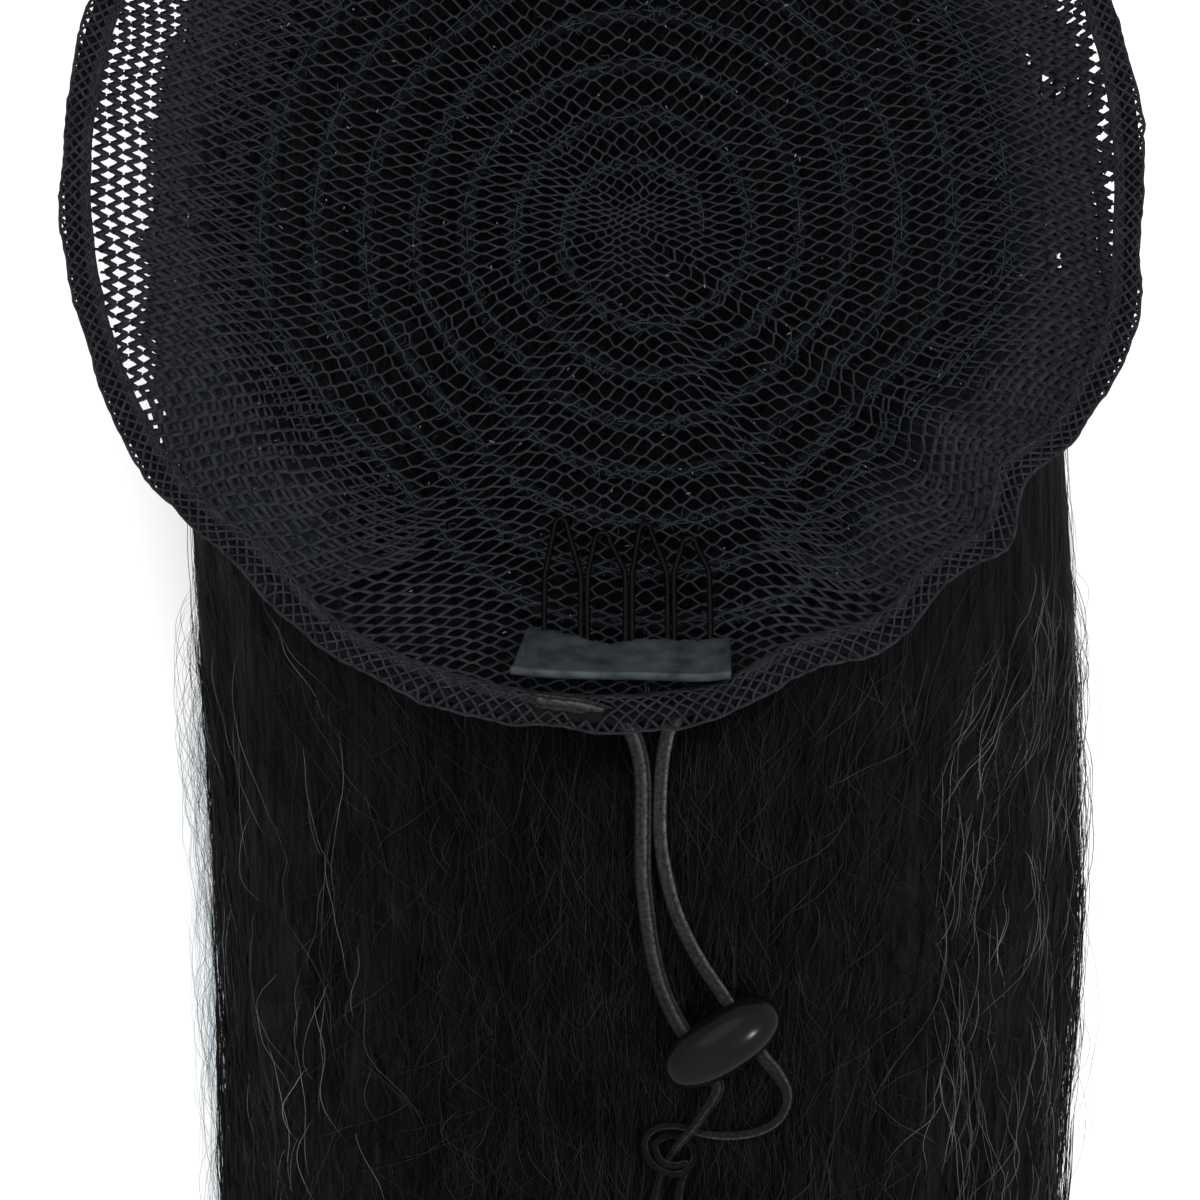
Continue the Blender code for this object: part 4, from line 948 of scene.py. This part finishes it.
def weft_path(step):
    """Places along the spiral row of weft, on the net."""
    places = []
    angle = 0.0
    radius = WEFT_START_RADIUS
    while radius < WEFT_END_RADIUS:
        dent = float(sum(depth * wave(angle, centre, half) for centre, half, depth in WEFT_DENTS))
        row_radius = radius * (1.0 - dent * radius / WEFT_END_RADIUS)
        turn = math.radians(angle)
        places.append((
            WEFT_CENTRE[0] + row_radius * math.cos(turn),
            WEFT_CENTRE[1] + row_radius * math.sin(turn),
        ))
        angle += math.degrees(step / radius)
        radius = WEFT_START_RADIUS + WEFT_PITCH * angle / 360.0
    return np.array(places)


def short_threads(centre, reach, bow, rise, size):
    """Threads that stand up from the net at their middle."""
    ends = np.stack([centre - reach, centre + bow, centre + reach], axis=1)
    heights = bowl_height_at(ends[..., 0], ends[..., 1]) + np.array(rise) * MM
    return sweep(np.dstack([ends, heights]), ring_profile(3) * STITCH_RADIUS, size)


def build_weft(seam_thread, glint_material, weft_thread):
    """Broken lines of stitches that show through the net, and the weft's band behind it."""
    flat = weft_path(STITCH_STEP)
    ahead = np.gradient(flat, axis=0)
    ahead /= np.linalg.norm(ahead, axis=1, keepdims=True)
    beside = np.stack([-ahead[:, 1], ahead[:, 0]], axis=1)
    parts = []
    at = 0
    while at < len(flat) - 24:
        count = int(random.integers(*STITCH_RUN))
        swing = random.normal(0.0, 0.35 * MM) + random.normal(0.0, 0.05 * MM, count)
        place = flat[at:at + count] + beside[at:at + count] * swing[:, None]
        height = bowl_height_at(place[:, 0], place[:, 1]) - 0.05 * MM + random.normal(0.0, 0.03 * MM, count)
        parts.append(sweep(np.column_stack([place, height])[None], ring_profile(3) * STITCH_RADIUS, 1.0))
        at += count + int(random.integers(*STITCH_SKIP))
    chosen = random.integers(0, len(flat), STITCH_TUFTS)
    reach = random.uniform(0.25, 0.9, (STITCH_TUFTS, 1)) * MM
    tilt = random.normal(0.0, 1.1, (STITCH_TUFTS, 1))
    lean = (beside[chosen] + ahead[chosen] * tilt) * reach / np.hypot(1.0, tilt)
    centre = flat[chosen] + beside[chosen] * random.normal(0.0, 0.75 * MM, (STITCH_TUFTS, 1))
    bow = np.stack([-lean[:, 1], lean[:, 0]], axis=1) * random.normal(0.0, 0.6, (STITCH_TUFTS, 1))
    parts.append(short_threads(centre, lean, bow, TUFT_RISE, TUFT_SIZE))
    vertices, faces = joined(parts)
    stitch_faces = len(faces)

    # Flecks: fibre ends that stand out of the net, coloured bright as painted glints
    turn = random.uniform(0.0, 2.0 * np.pi, FLECKS)
    share = random.uniform(0.1, 0.93, FLECKS) ** 0.7
    radius = share * (CAP_RADIUS - CASING_INSET) * 0.95
    centre = CAP_CENTRE + np.stack([radius * np.cos(turn), radius * np.sin(turn)], axis=1)
    line = random.normal(0.0, 0.11 * MM, (FLECKS, 2))
    more_vertices, more_faces = short_threads(centre, line, 0.0, FLECK_RISE, FLECK_SIZE)
    indices = np.concatenate([np.zeros(stitch_faces, int), np.ones(len(more_faces), int)])
    vertices, faces = joined([(vertices, faces), (more_vertices, more_faces)])
    new_piece("weft_seam", vertices, faces, [seam_thread, glint_material], indices=indices)

    flat = weft_path(2.0 * MM)
    height = bowl_height_at(flat[:, 0], flat[:, 1]) - WEFT_BAND_DEPTH
    points = np.column_stack([flat, height])
    vertices, faces = sweep(points[None], np.array(WEFT_BAND) * MM, 1.0)
    new_piece("weft_rows", vertices, faces, [weft_thread], ["weft_track"])


# Hem


def hem_axes(angle):
    """Centre of the elastic's channel, and the hem's directions along its width and through it."""
    radius = cord_line_radius(angle)
    centre = around(angle, radius, bowl_height(angle, radius))
    turn = np.radians(angle)
    outwards = np.stack([np.cos(turn), np.sin(turn), 0.0 * turn], axis=-1)
    up = np.array([0.0, 0.0, 1.0])
    slope = math.radians(CASING_SLOPE_DEG)
    along = outwards * math.cos(slope) + up * math.sin(slope)
    across = up * math.cos(slope) - outwards * math.sin(slope)
    return centre, along, across


def hem_reach(angle):
    ruffle = np.sin(np.radians(angle) * RUFFLE_COUNT)
    return HEM_TIP_REACH + HEM_TIP_REACH_LOW * wave(angle, 270.0, 70.0) + RUFFLE_REACH * ruffle


def hem_inner_share(angle):
    """How much of the hem's inner half is flat enough to show, less at the sides."""
    return HEM_INNER_SHARE - HEM_INNER_LOSS * sidedness(angle)


def hem_point(angle, place):
    """A point of the hem's surface. place runs from 0 at the sewn line to 1 at the edge to 2 below."""
    centre, along, across = hem_axes(angle)
    section = np.array(HEM_SECTION) * MM
    knots = np.linspace(0.0, HEM_FOLD_PLACE, len(section))
    upper = np.where(place > 1.0, 2.0 - place, place)
    tip = hem_reach(angle)
    t = np.interp(upper, knots, section[:, 0])
    n = np.interp(upper, knots, section[:, 1])
    outer = np.clip((upper - HEM_FOLD_PLACE) / (1.0 - HEM_FOLD_PLACE), 0.0, 1.0)
    t = t + outer * (tip - section[-1, 0])
    t = np.where(t < 0.0, t * hem_inner_share(angle), t)
    n = n * (1.0 - HEM_EDGE_THINNING * outer)
    turn = np.radians(angle)
    pucker = 1.0 + HEM_PUCKER * np.sin(turn * 61.0 + 2.0 * np.sin(turn * 7.0))
    lift = HEM_EDGE_LIFT * outer * np.sin(turn * 37.0)
    n = np.where(place > 1.0, -n, n) * pucker + lift
    return centre + along * t[..., None] + across * n[..., None], t


def build_hem(thread, core_material, elastic, cord_points):
    """The folded hem: a dark core, the elastic in it, and net over both with a looped raw edge."""
    angles = np.linspace(0.0, 360.0, HEM_CORE_STATIONS, endpoint=False)
    centre, along, across = hem_axes(angles)
    core = np.array(HEM_CORE + tuple((t, -n) for t, n in reversed(HEM_CORE))) * MM
    inner = np.where(core[None, :, 0] < 0.0, hem_inner_share(angles)[:, None], 1.0)[..., None]
    rings = centre[:, None] + along[:, None] * core[:, 0, None] * inner + across[:, None] * core[:, 1, None]
    faces = grid_faces(len(angles), len(core), True, True)
    inside = new_piece("hem_core", rings.reshape(-1, 3), faces, [core_material])

    angles = np.linspace(*RIM_ELASTIC_SPAN_DEG, RIM_ELASTIC_STATIONS)
    centre, along, across = hem_axes(angles)
    profile = rib_profile(RIM_ELASTIC_WIDTH, 1.0)
    vertices, faces = sweep((centre + RIM_ELASTIC_LIFT * across)[None], profile, 1.0, across[None])
    uvs = cord_uvs(centre, profile)
    new_piece("rim_elastic", vertices, faces, [elastic], ["drawstring_rim"], uvs=uvs)

    i, j = np.meshgrid(np.arange(HEM_COLUMNS), np.arange(2 * HEM_ROWS + 1), indexing="ij")
    turns = np.linspace(0.0, 360.0, HEM_TURN_STEPS)
    crowding = 1.0 + HEM_SIDE_CROWDING * sidedness(turns)
    columns = np.concatenate([[0.0], np.cumsum(0.5 * (crowding[1:] + crowding[:-1]))])
    columns *= HEM_COLUMNS / columns[-1]
    angle = np.interp(i + random.normal(0.0, HEM_JITTER[0], i.shape), columns, turns)
    place = np.clip(j / HEM_ROWS + random.normal(0.0, HEM_JITTER[1], i.shape), 0.0, 2.0)
    point, t = hem_point(angle, place)
    knot = (i + j) % 2 == 0
    away = np.full(i.shape, 1.0)
    for cord in cord_points:
        outside = cord[(cord[:, 1] < MOUTH_Y[1]) & (cord[:, 1] > MOUTH_Y[0])]
        gap = np.linalg.norm(point[:, :, None, :] - outside[None, None], axis=-1).min(axis=2)
        away = np.minimum(away, gap)
    kept = knot & ~((away < MOUTH_CLEARANCE) & (t > 0.6 * MM))
    runs = []
    for down in (1, -1):
        rows, rows_beside = (slice(0, -1), slice(1, None))[::down]
        start = point[:, rows]
        end = np.roll(point, -1, axis=0)[:, rows_beside]
        both = kept[:, rows] & np.roll(kept, -1, axis=0)[:, rows_beside]
        runs.append(np.stack([start[both], end[both]], axis=1))
    runs = np.vstack(runs)
    weight = random.uniform(0.85, 1.2, len(runs))[:, None]
    first = HEM_ROWS % 2
    tips = point[first::2, HEM_ROWS]
    following = np.roll(tips, -1, axis=0)
    tied = kept[first::2, HEM_ROWS] & np.roll(kept[first::2, HEM_ROWS], -1)
    between = np.roll(point[1 - first::2, HEM_ROWS], -first, axis=0)
    edge = np.stack([tips, 0.5 * (0.5 * (tips + following) + between), following], axis=1)[tied]
    vertices, faces = joined([
        sweep(runs, ring_profile(3) * HEM_THREAD_RADIUS, weight),
        sweep(edge, ring_profile(3) * HEM_THREAD_RADIUS, HEM_EDGE_THREAD),
    ])
    return [new_piece("hem_net", vertices, faces, [thread], ["rim_casing"]), inside]


# Drawstring


def rib_profile(width, flatness):
    half = np.array(RIB_SECTION)
    ring = np.vstack([half, -half]) * [1.0, flatness / 0.66]
    return ring * 0.5 * width


def cord_uvs(points, profile):
    """Along the cord in cord units, and across its width from 0 to 1."""
    lengths = np.concatenate([[0.0], np.cumsum(np.linalg.norm(np.diff(points, axis=0), axis=1))])
    across = 0.5 + 0.5 * profile[:, 0] / np.abs(profile[:, 0]).max()
    return np.stack([np.repeat(lengths / CORD_UNIT, len(profile)), np.tile(across, len(points))], axis=1)


def cord_path(route):
    return smooth_path(np.array(route) * MM, CORD_STEP)


def place_along(points, place):
    """How far along a cord, in cord units, it passes nearest to a place."""
    nearest = int(np.linalg.norm(points - place, axis=1).argmin())
    return path_length(points[:nearest + 1]) / CORD_UNIT


def build_strand(name, points, width, elastic, nodes):
    """One free strand, from the hem through the cord stop and the knot to its cut end."""
    away = np.linalg.norm(points - KNOT_PLACE, axis=1)
    near = np.clip(1.0 - away / KNOT_REACH, 0.0, 1.0)
    before_tail = np.linspace(0.0, 1.0, len(points))
    lower = np.clip((LOWER_START_Y - points[:, 1]) / LOWER_FADE, 0.0, 1.0)
    tail = np.clip((TAIL_START_Y - points[:, 1]) / TAIL_FADE, 0.0, 1.0)
    sizes = 1.0 - (1.0 - LOWER_CORD_SHARE) * (lower - TAIL_SWELL * tail)
    sizes = sizes - KNOT_THINNING * np.clip(near * 2.2, 0.0, 1.0) * sizes
    sizes = sizes * (1.0 - CUT_END_THINNING * (before_tail > 0.985))
    profile = rib_profile(width, CORD_FLATNESS)
    vertices, faces = sweep(points[None], profile, sizes[None])
    sides = len(profile)
    uvs = cord_uvs(points, profile)
    piece = new_piece(name, vertices, faces, [elastic], nodes, uvs=uvs)

    def close_ends(builder):
        builder.verts.ensure_lookup_table()
        last = len(points) * sides
        for ring in (range(sides), range(last - 1, last - sides - 1, -1)):
            builder.faces.new([builder.verts[index] for index in ring])

    mend(piece.data, close_ends)


# Comb and tape


def comb_height(x, y):
    cup = COMB_CUP * ((x - COMB_MIDDLE_X) / COMB_HALF_WIDTH) ** 2
    return COMB_FOOT_Z + cup - (y - COMB_FOOT_Y) * math.tan(math.radians(COMB_SLOPE_DEG))


def foot_line(x):
    return COMB_FOOT_Y + FOOT_BOW * ((x - COMB_MIDDLE_X) / COMB_HALF_WIDTH) ** 2


def build_comb(wire):
    outline = []
    for index, (left, right, tip_x, tip_y, tip_width) in enumerate(COMB_TEETH):
        left -= COMB_PAIR_SQUEEZE * (index > 0)
        right += COMB_PAIR_SQUEEZE * (index < len(COMB_TEETH) - 1)
        half_tip = 0.5 * tip_width
        leg_top = COMB_LEG_TOP_Y / MM
        for side, leg in ((-1.0, left), (1.0, right)):
            climb = [
                (leg, foot_line(leg * MM) / MM),
                (leg, leg_top - 1.6),
                (leg + 0.12 * (tip_x - leg), leg_top + 0.6),
                (tip_x + side * half_tip, tip_y - 1.5),
                (tip_x + side * 0.72 * half_tip, tip_y - 0.5),
            ]
            if side < 0.0:
                outline.extend(climb)
                outline.append((tip_x, tip_y))
            else:
                outline.extend(reversed(climb))
        if index < len(COMB_TEETH) - 1:
            gap = COMB_PAIR_SPACING / MM - 2.0 * COMB_PAIR_SQUEEZE
            turn_y = (foot_line((right + 0.5 * gap) * MM) - FOOT_TURN_DEPTH) / MM
            outline.append((right + 0.25 * gap, turn_y))
            outline.append((right + 0.75 * gap, turn_y))
    flat = np.array(outline) * MM
    points = np.column_stack([flat, comb_height(flat[:, 0], flat[:, 1])])
    points = smooth_path(points + [*COMB_SHIFT, 0.0], 0.3 * MM)
    slope = math.radians(COMB_SLOPE_DEG)
    vertices, faces = sweep(
        points[None], ring_profile(10) * COMB_WIRE_RADIUS, 1.0, (0.0, math.sin(slope), math.cos(slope)),
    )
    new_piece("wire_comb", vertices, faces, [wire], ["comb"])


def build_tape(felt, stitch_thread):
    """A felt strip folded over the comb's foot, with a wavy cut edge."""
    lower = smooth_path([(x * MM, y * MM, 0.0) for x, y in TAPE_LOWER], 0.33 * MM)
    columns = len(lower)
    upper = smooth_path([(x * MM, y * MM, 0.0) for x, y in TAPE_UPPER], 0.05 * MM)
    upper = upper[np.linspace(0, len(upper) - 1, columns).round().astype(int)]
    share = np.linspace(0.0, 1.0, columns)
    frayed = 0.10 * MM * np.sin(57.0 * share) + 0.07 * MM * np.sin(131.0 * share)
    swell = 0.12 * MM * np.sin(2.0 * np.pi * (2.6 * share + 0.35))
    width = (upper - lower)[:, 1] + frayed
    lean = (upper - lower)[:, 0]
    rows = []
    shades = []
    # Rows of the strip: share of the width, side of the comb, and place in the fold for the painted
    # highlight
    for reach, depth, shade in [
        *((0.75 - 0.12 * k, -1.0, 0.0) for k in range(6)),
        *((None, turn, 0.5 + 0.5 * math.sin(turn)) for turn in TAPE_FOLD_TURN * np.linspace(-1.0, 1.0, 9)),
        *((0.15 + 0.85 * k / 10.0, 1.0, -0.1 * k / 10.0) for k in range(11)),
    ]:
        if reach is None:
            y = lower[:, 1] + TAPE_FOLD_REACH * (1.0 - math.cos(depth))
            x = lower[:, 0]
            lift = TAPE_HALF_GAP * math.sin(depth) / math.sin(TAPE_FOLD_TURN)
        else:
            y = lower[:, 1] + np.maximum(width * reach, TAPE_FOLD_REACH * 0.7)
            x = lower[:, 0] + lean * reach
            lift = TAPE_HALF_GAP * depth
        rows.append(np.column_stack([x, y, comb_height(x, y) + lift + (swell if lift > 0.0 else 0.0)]))
        shades.append(np.column_stack([share, np.full(columns, 0.5 + 0.5 * shade)]))
    faces = grid_faces(len(rows), columns)
    piece = new_piece(
        "felt_fold", np.vstack(rows), faces, [felt], ["comb_tape"], uvs=np.vstack(shades),
    )
    wall = piece.modifiers.new("felt_wall", "SOLIDIFY")
    wall.thickness = TAPE_THICKNESS
    wall.offset = 0.0

    seams = []
    for x, y, length, on_tape in TAPE_STITCHES:
        ends = np.array([(x, y - 0.5 * length), (x + 0.1, y), (x - 0.05, y + 0.5 * length)]) * MM
        if on_tape:
            height = comb_height(ends[:, 0], ends[:, 1]) + TAPE_HALF_GAP + 0.45 * MM
        else:
            height = bowl_height_at(ends[:, 0], ends[:, 1]) + 0.35 * MM
        seams.append(np.column_stack([ends, height + np.array([-0.2, 0.1, -0.2]) * MM]))
    vertices, faces = sweep(np.array(seams), ring_profile(6) * TAPE_STITCH_RADIUS, 1.0)
    stitches = new_piece("tape_stitches", vertices, faces, [stitch_thread])


# Cord stop


def build_toggle(gloss):
    """A bean with a flat entry face and two holes, moulded in two halves."""
    rings, sides = TOGGLE_GRID
    polar = np.linspace(0.0, np.pi, rings)[:, None]
    turn = np.linspace(0.0, 2.0 * np.pi, sides, endpoint=False)[None, :]
    direction = np.stack([
        np.cos(polar) + 0.0 * turn,
        np.sin(polar) * np.cos(turn),
        np.sin(polar) * np.sin(turn),
    ], axis=-1)
    total = (np.abs(direction) ** TOGGLE_FULLNESS).sum(axis=-1, keepdims=True)
    direction = direction * total ** (-1.0 / TOGGLE_FULLNESS)
    x = direction[..., 0] * TOGGLE_HALF_LENGTH
    y = direction[..., 1] * TOGGLE_HALF_WIDTH
    z = direction[..., 2] * TOGGLE_HALF_HEIGHT
    flat_from = TOGGLE_FLAT_SHARE * TOGGLE_HALF_WIDTH
    y = np.where(y > flat_from, flat_from + TOGGLE_FLATTENING * (y - flat_from), y)
    vertices = np.stack([x, y, z], axis=-1).reshape(-1, 3)
    turn_z = math.radians(TOGGLE_TURN_DEG)
    rotation = np.array([
        [math.cos(turn_z), -math.sin(turn_z), 0.0],
        [math.sin(turn_z), math.cos(turn_z), 0.0],
        [0.0, 0.0, 1.0],
    ])
    vertices = vertices @ rotation.T + TOGGLE_CENTRE
    faces = grid_faces(rings, sides, ring_columns=True)
    piece = new_piece("cord_stop", vertices, faces, [gloss], ["toggle"])
    mend(piece.data, lambda builder: bmesh.ops.remove_doubles(builder, verts=builder.verts, dist=1e-6))
    for side in (-1.0, 1.0):
        hole = bpy.data.meshes.new("hole")
        builder = bmesh.new()
        bmesh.ops.create_cone(
            builder, cap_ends=True, segments=TOGGLE_HOLE_SIDES, radius1=TOGGLE_HOLE_RADIUS,
            radius2=TOGGLE_HOLE_RADIUS, depth=4.0 * TOGGLE_HALF_WIDTH,
        )
        builder.to_mesh(hole)
        builder.free()
        offset = rotation @ np.array([0.5 * side * TOGGLE_HOLE_SPACING, 0.0, 0.0])
        cutter = placed("hole", hole, Vector(TOGGLE_CENTRE) + Vector(offset))
        cutter.rotation_euler = (math.radians(90.0), 0.0, turn_z)
        cut = piece.modifiers.new("hole", "BOOLEAN")
        cut.object = cutter
        cut.solver = "EXACT"
        apply_modifiers(piece)
        bpy.data.objects.remove(cutter)
    piece.data.set_sharp_from_angle(angle=math.radians(TOGGLE_SHARP_DEG))
    return piece


def apply_modifiers(piece):
    bpy.context.view_layer.update()
    graph = bpy.context.evaluated_depsgraph_get()
    mesh = bpy.data.meshes.new_from_object(piece.evaluated_get(graph))
    piece.modifiers.clear()
    piece.data = mesh


# Hair


def build_hair_core(material):
    """The hair's solid as a fine mesh, with the grooves between its locks."""
    core = placed("hair_core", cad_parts["hair"].data.copy())
    remesh = core.modifiers.new("fine", "REMESH")
    remesh.mode = "VOXEL"
    remesh.voxel_size = HAIR_VOXEL
    smooth = core.modifiers.new("soft", "SMOOTH")
    smooth.iterations = 4
    apply_modifiers(core)
    mesh = core.data
    count = len(mesh.vertices)
    co = np.empty(count * 3, np.float32)
    normals = np.empty(count * 3, np.float32)
    mesh.vertices.foreach_get("co", co)
    mesh.vertices.foreach_get("normal", normals)
    co = co.reshape(-1, 3).astype(float)
    normals = normals.reshape(-1, 3)
    groove = np.array([
        sum(
            strength * noise.noise(Vector((x / wide + shift, y / long, z / wide)))
            for strength, wide, long, shift in HAIR_GROOVES
        )
        for x, y, z in co
    ])
    away = np.hypot(co[:, 0] - CAP_CENTRE[0], co[:, 1] - CAP_CENTRE[1])
    free = np.clip((away - HAIR_FREE_RADIUS) / HAIR_FREE_FADE, 0.0, 1.0)
    floor_fade = np.clip((co[:, 2] - 0.6 * MM) / (3.0 * MM), 0.0, 1.0)
    amount = HAIR_GROOVE_DEPTH * (groove - 0.25 * free) - HAIR_SINK_UNDER_CAP * (1.0 - free)
    co += normals * (amount * floor_fade)[:, None]
    co[:, 2] = np.maximum(co[:, 2], 0.0)
    mesh.vertices.foreach_set("co", co.astype(np.float32).ravel())
    mesh.materials.clear()
    mesh.materials.append(material)
    mesh.polygons.foreach_set("use_smooth", np.full(len(mesh.polygons), True))
    mesh.update()
    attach(core, "root")
    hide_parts("hair")
    return core


class HairSurface:
    """Distance from the hair's axis to its surface, by place along the fall and turn round it."""

    def __init__(self, core):
        graph = bpy.context.evaluated_depsgraph_get()
        tree = BVHTree.FromObject(core, graph)
        low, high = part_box("hair")
        self.top_y = high.y - 3.0 * MM
        self.rows = np.linspace(HAIR_END_Y, self.top_y, HAIR_TABLE_ROWS)
        self.turns = np.linspace(-np.pi, np.pi, HAIR_TABLE_TURNS + 1)
        self.axis = np.zeros((HAIR_TABLE_ROWS, 2))
        self.reach = np.zeros((HAIR_TABLE_ROWS, HAIR_TABLE_TURNS + 1))
        for row, y in enumerate(self.rows):
            for height in HAIR_PROBE_HEIGHTS:
                left = tree.ray_cast(Vector((-HAIR_PROBE_X, y, height)), Vector((1, 0, 0)))[0]
                right = tree.ray_cast(Vector((HAIR_PROBE_X, y, height)), Vector((-1, 0, 0)))[0]
                if left is not None and right is not None:
                    break
            middle = 0.5 * (left.x + right.x)
            top = tree.ray_cast(Vector((middle, y, 0.2)), Vector((0, 0, -1)))[0]
            centre = Vector((middle, y, 0.5 * top.z))
            self.axis[row] = (centre.x, centre.z)
            for column, turn in enumerate(self.turns):
                hit = tree.ray_cast(centre, Vector((math.cos(turn), 0.0, math.sin(turn))))[0]
                self.reach[row, column] = (hit - centre).length if hit else 0.002

    def point(self, y, turn, lift):
        """World points at places along the fall, turns about the axis and heights off the surface."""
        turn = (turn + np.pi) % (2.0 * np.pi) - np.pi
        row = np.interp(y, self.rows, np.arange(len(self.rows)))
        low = np.clip(row.astype(int), 0, len(self.rows) - 2)
        part = row - low
        column = (turn + np.pi) / (2.0 * np.pi) * HAIR_TABLE_TURNS
        left = np.clip(column.astype(int), 0, HAIR_TABLE_TURNS - 1)
        side = column - left
        reach = (
            self.reach[low, left] * (1 - part) * (1 - side)
            + self.reach[low + 1, left] * part * (1 - side)
            + self.reach[low, left + 1] * (1 - part) * side
            + self.reach[low + 1, left + 1] * part * side
        )
        x = self.axis[low, 0] * (1 - part) + self.axis[low + 1, 0] * part
        z = self.axis[low, 1] * (1 - part) + self.axis[low + 1, 1] * part
        past = np.clip((HAIR_END_Y - y) / HAIR_TAIL, 0.0, 1.0)
        reach = reach * (1.0 - HAIR_TAIL_NARROWING * past)
        z = z * (1.0 - HAIR_TAIL_LOWERING * past)
        px = x + (reach + lift) * np.cos(turn)
        pz = np.maximum(z + (reach + lift) * np.sin(turn), 0.15 * MM)
        return np.stack([px, y, pz], axis=-1)


def crimp(shape, share, length):
    """Side to side kinks of a fibre along its length, and its slow wander."""
    tubes, count = shape
    phase = random.uniform(0.0, 2.0 * np.pi, (tubes, 4))
    pitch = CRIMP_LENGTH * random.uniform(0.9, 1.9, (tubes, 1))
    tight = random.uniform(0.04, 0.22, (tubes, 1)) * MM
    along = share * length
    kink = tight * (
        np.sin(2.0 * np.pi * along / pitch + phase[:, :1])
        + 0.25 * np.sin(2.0 * np.pi * along / (0.61 * pitch) + phase[:, 1:2])
    )
    slow = random.uniform(0.1, 1.0, (tubes, 1)) * MM
    period = random.uniform(14.0, 40.0, (tubes, 1)) * MM
    wander = slow * np.sin(2.0 * np.pi * along / period + phase[:, 2:3])
    return kink, wander


def hair_strands(surface, tubes, root_y, length_range, turns, lean, curl, lift, width, rooted=True):
    """Paths and widths of strands that start at root_y and run towards -Y.

    The ends of rooted strands lie on the fall; others keep their height off it.
    """
    length = random.uniform(*length_range, (tubes, 1))
    count = HAIR_STRAND_POINTS
    share = np.linspace(0.0, 1.0, count)[None, :]
    y = root_y[:, None] - share * length
    kink, wander = crimp((tubes, count), share, length)
    side_kink, side_wander = crimp((tubes, count), share, length)
    lean = random.normal(0.0, lean, (tubes, 1))
    curl = random.normal(0.0, curl, (tubes, 1))
    start = surface.point(y, turns[:, None] + 0.0 * y, 0.0 * y)
    radius = np.maximum(np.hypot(start[..., 0] - np.mean(surface.axis[:, 0]), start[..., 2]), 12.0 * MM)
    sideways = (kink + wander + (lean + curl * share) * share * length) / radius
    bell = np.sin(np.pi * np.clip(share * 1.02, 0.0, 1.0)) ** 0.6 if rooted else 1.0 + 0.0 * share
    height = lift[:, None] * bell + 0.5 * side_kink + 0.35 * side_wander
    paths = surface.point(y, turns[:, None] + sideways, height)
    taper = np.clip(np.minimum(share * 8.0, (1.0 - share) * 5.0), 0.12, 1.0)
    return paths, width[:, None] * taper


def ribbon_mesh(paths, widths, face_up):
    """Ribbons rolled at random about their own line, facing outwards from the fall or up."""
    tubes = len(paths)
    roll = random.uniform(-0.8, 0.8, tubes) + (0.5 * np.pi if face_up else 0.0)
    centre = paths.mean(axis=1)
    outwards = np.stack([centre[:, 0] - HAIR_AXIS[0], 0.0 * roll, centre[:, 2] - HAIR_AXIS[1]], axis=1)
    if face_up:
        outwards[:, 2] = 0.0
    outwards /= np.linalg.norm(outwards, axis=1, keepdims=True)
    side = np.stack([-outwards[:, 2], 0.0 * roll, outwards[:, 0]], axis=1)
    ups = outwards * np.cos(roll)[:, None] + side * np.sin(roll)[:, None]
    profile = np.array([(-0.5, 0.0), (0.5, 0.0)])
    return sweep(paths, profile, widths, ups[:, None, :], closed_profile=False)


def both_sides(tubes, left_share, spread_down, spread_up):
    """Turns at the left and right side of the fall."""
    left = random.random(tubes) < left_share
    spread = random.uniform(-spread_down, spread_up, tubes)
    return np.where(left, np.pi - spread, spread)


def build_hair(core_material, shades):
    surface = HairSurface(build_hair_core(core_material))
    for name, count, tones, roots, lengths, spread, lean, curl, lift, widths in HAIR_GROUPS:
        low, high = roots
        top = surface.top_y if high is None else high * MM
        root_y = random.uniform(low * MM, top, count)
        if isinstance(spread, tuple):
            turns = both_sides(count, *spread)
        else:
            turns = random.uniform(0.5 * np.pi - spread, 0.5 * np.pi + spread, count)
        full = HAIR_EDGE[0] + HAIR_EDGE[1] * np.clip((HAIR_EDGE_Y - root_y) / HAIR_EDGE_FADE, 0.0, 1.0)
        rise = lift(full, lambda start, end: random.uniform(start, end, count)) * MM
        width = random.uniform(*widths, count) * MM
        paths, sizes = hair_strands(
            surface, count, root_y, np.array(lengths) * MM, turns, lean, curl, rise, width,
            name not in HAIR_LOOSE,
        )
        vertices, faces = ribbon_mesh(paths, sizes, name in HAIR_FACE_UP)
        tone = random.choice(len(tones), size=count, p=list(tones.values()))
        materials = [shades[shade] for shade in tones]
        indices = np.repeat(tone, HAIR_STRAND_POINTS - 1)
        new_piece(name, vertices, faces, materials, indices=indices)


def main():
    build_stage()
    threads = {name: thread_material(name, *tones) for name, tones in THREADS.items()}
    left = cord_path(LEFT_ROUTE)
    right = cord_path(RIGHT_ROUTE)
    nets, net_gathers = build_net(threads["net_thread"], folds_material())
    build_weft(threads["seam_thread"], threads["glint_flecks"], threads["weft_thread"])
    rim_elastic = elastic_material("rim_elastic", RIM_TONES)
    hem_pieces = build_hem(threads["hem_thread"], threads["hem_inside"], rim_elastic, (left, right))
    toggle = build_toggle(gloss_material())
    build_strand(
        "elastic_left", left, LEFT_CORD_WIDTH,
        elastic_material("left_elastic", LEFT_TONES, place_along(left, LEFT_KNOT_ENTRY)),
        ("drawstring_left", "cord_tail_left", "cord_knot"),
    )
    build_strand(
        "elastic_right", right, RIGHT_CORD_WIDTH,
        elastic_material("right_elastic", RIGHT_TONES, place_along(right, RIGHT_KNOT_ENTRY)),
        ("drawstring_right", "cord_tail_right"),
    )
    build_comb(wire_material())
    build_tape(felt_material(), threads["seam_thread"])
    shades = {name: strand_material(f"hair_{name}", *tones) for name, tones in HAIR_SHADES.items()}
    build_hair(hair_core_material(), shades)


main()
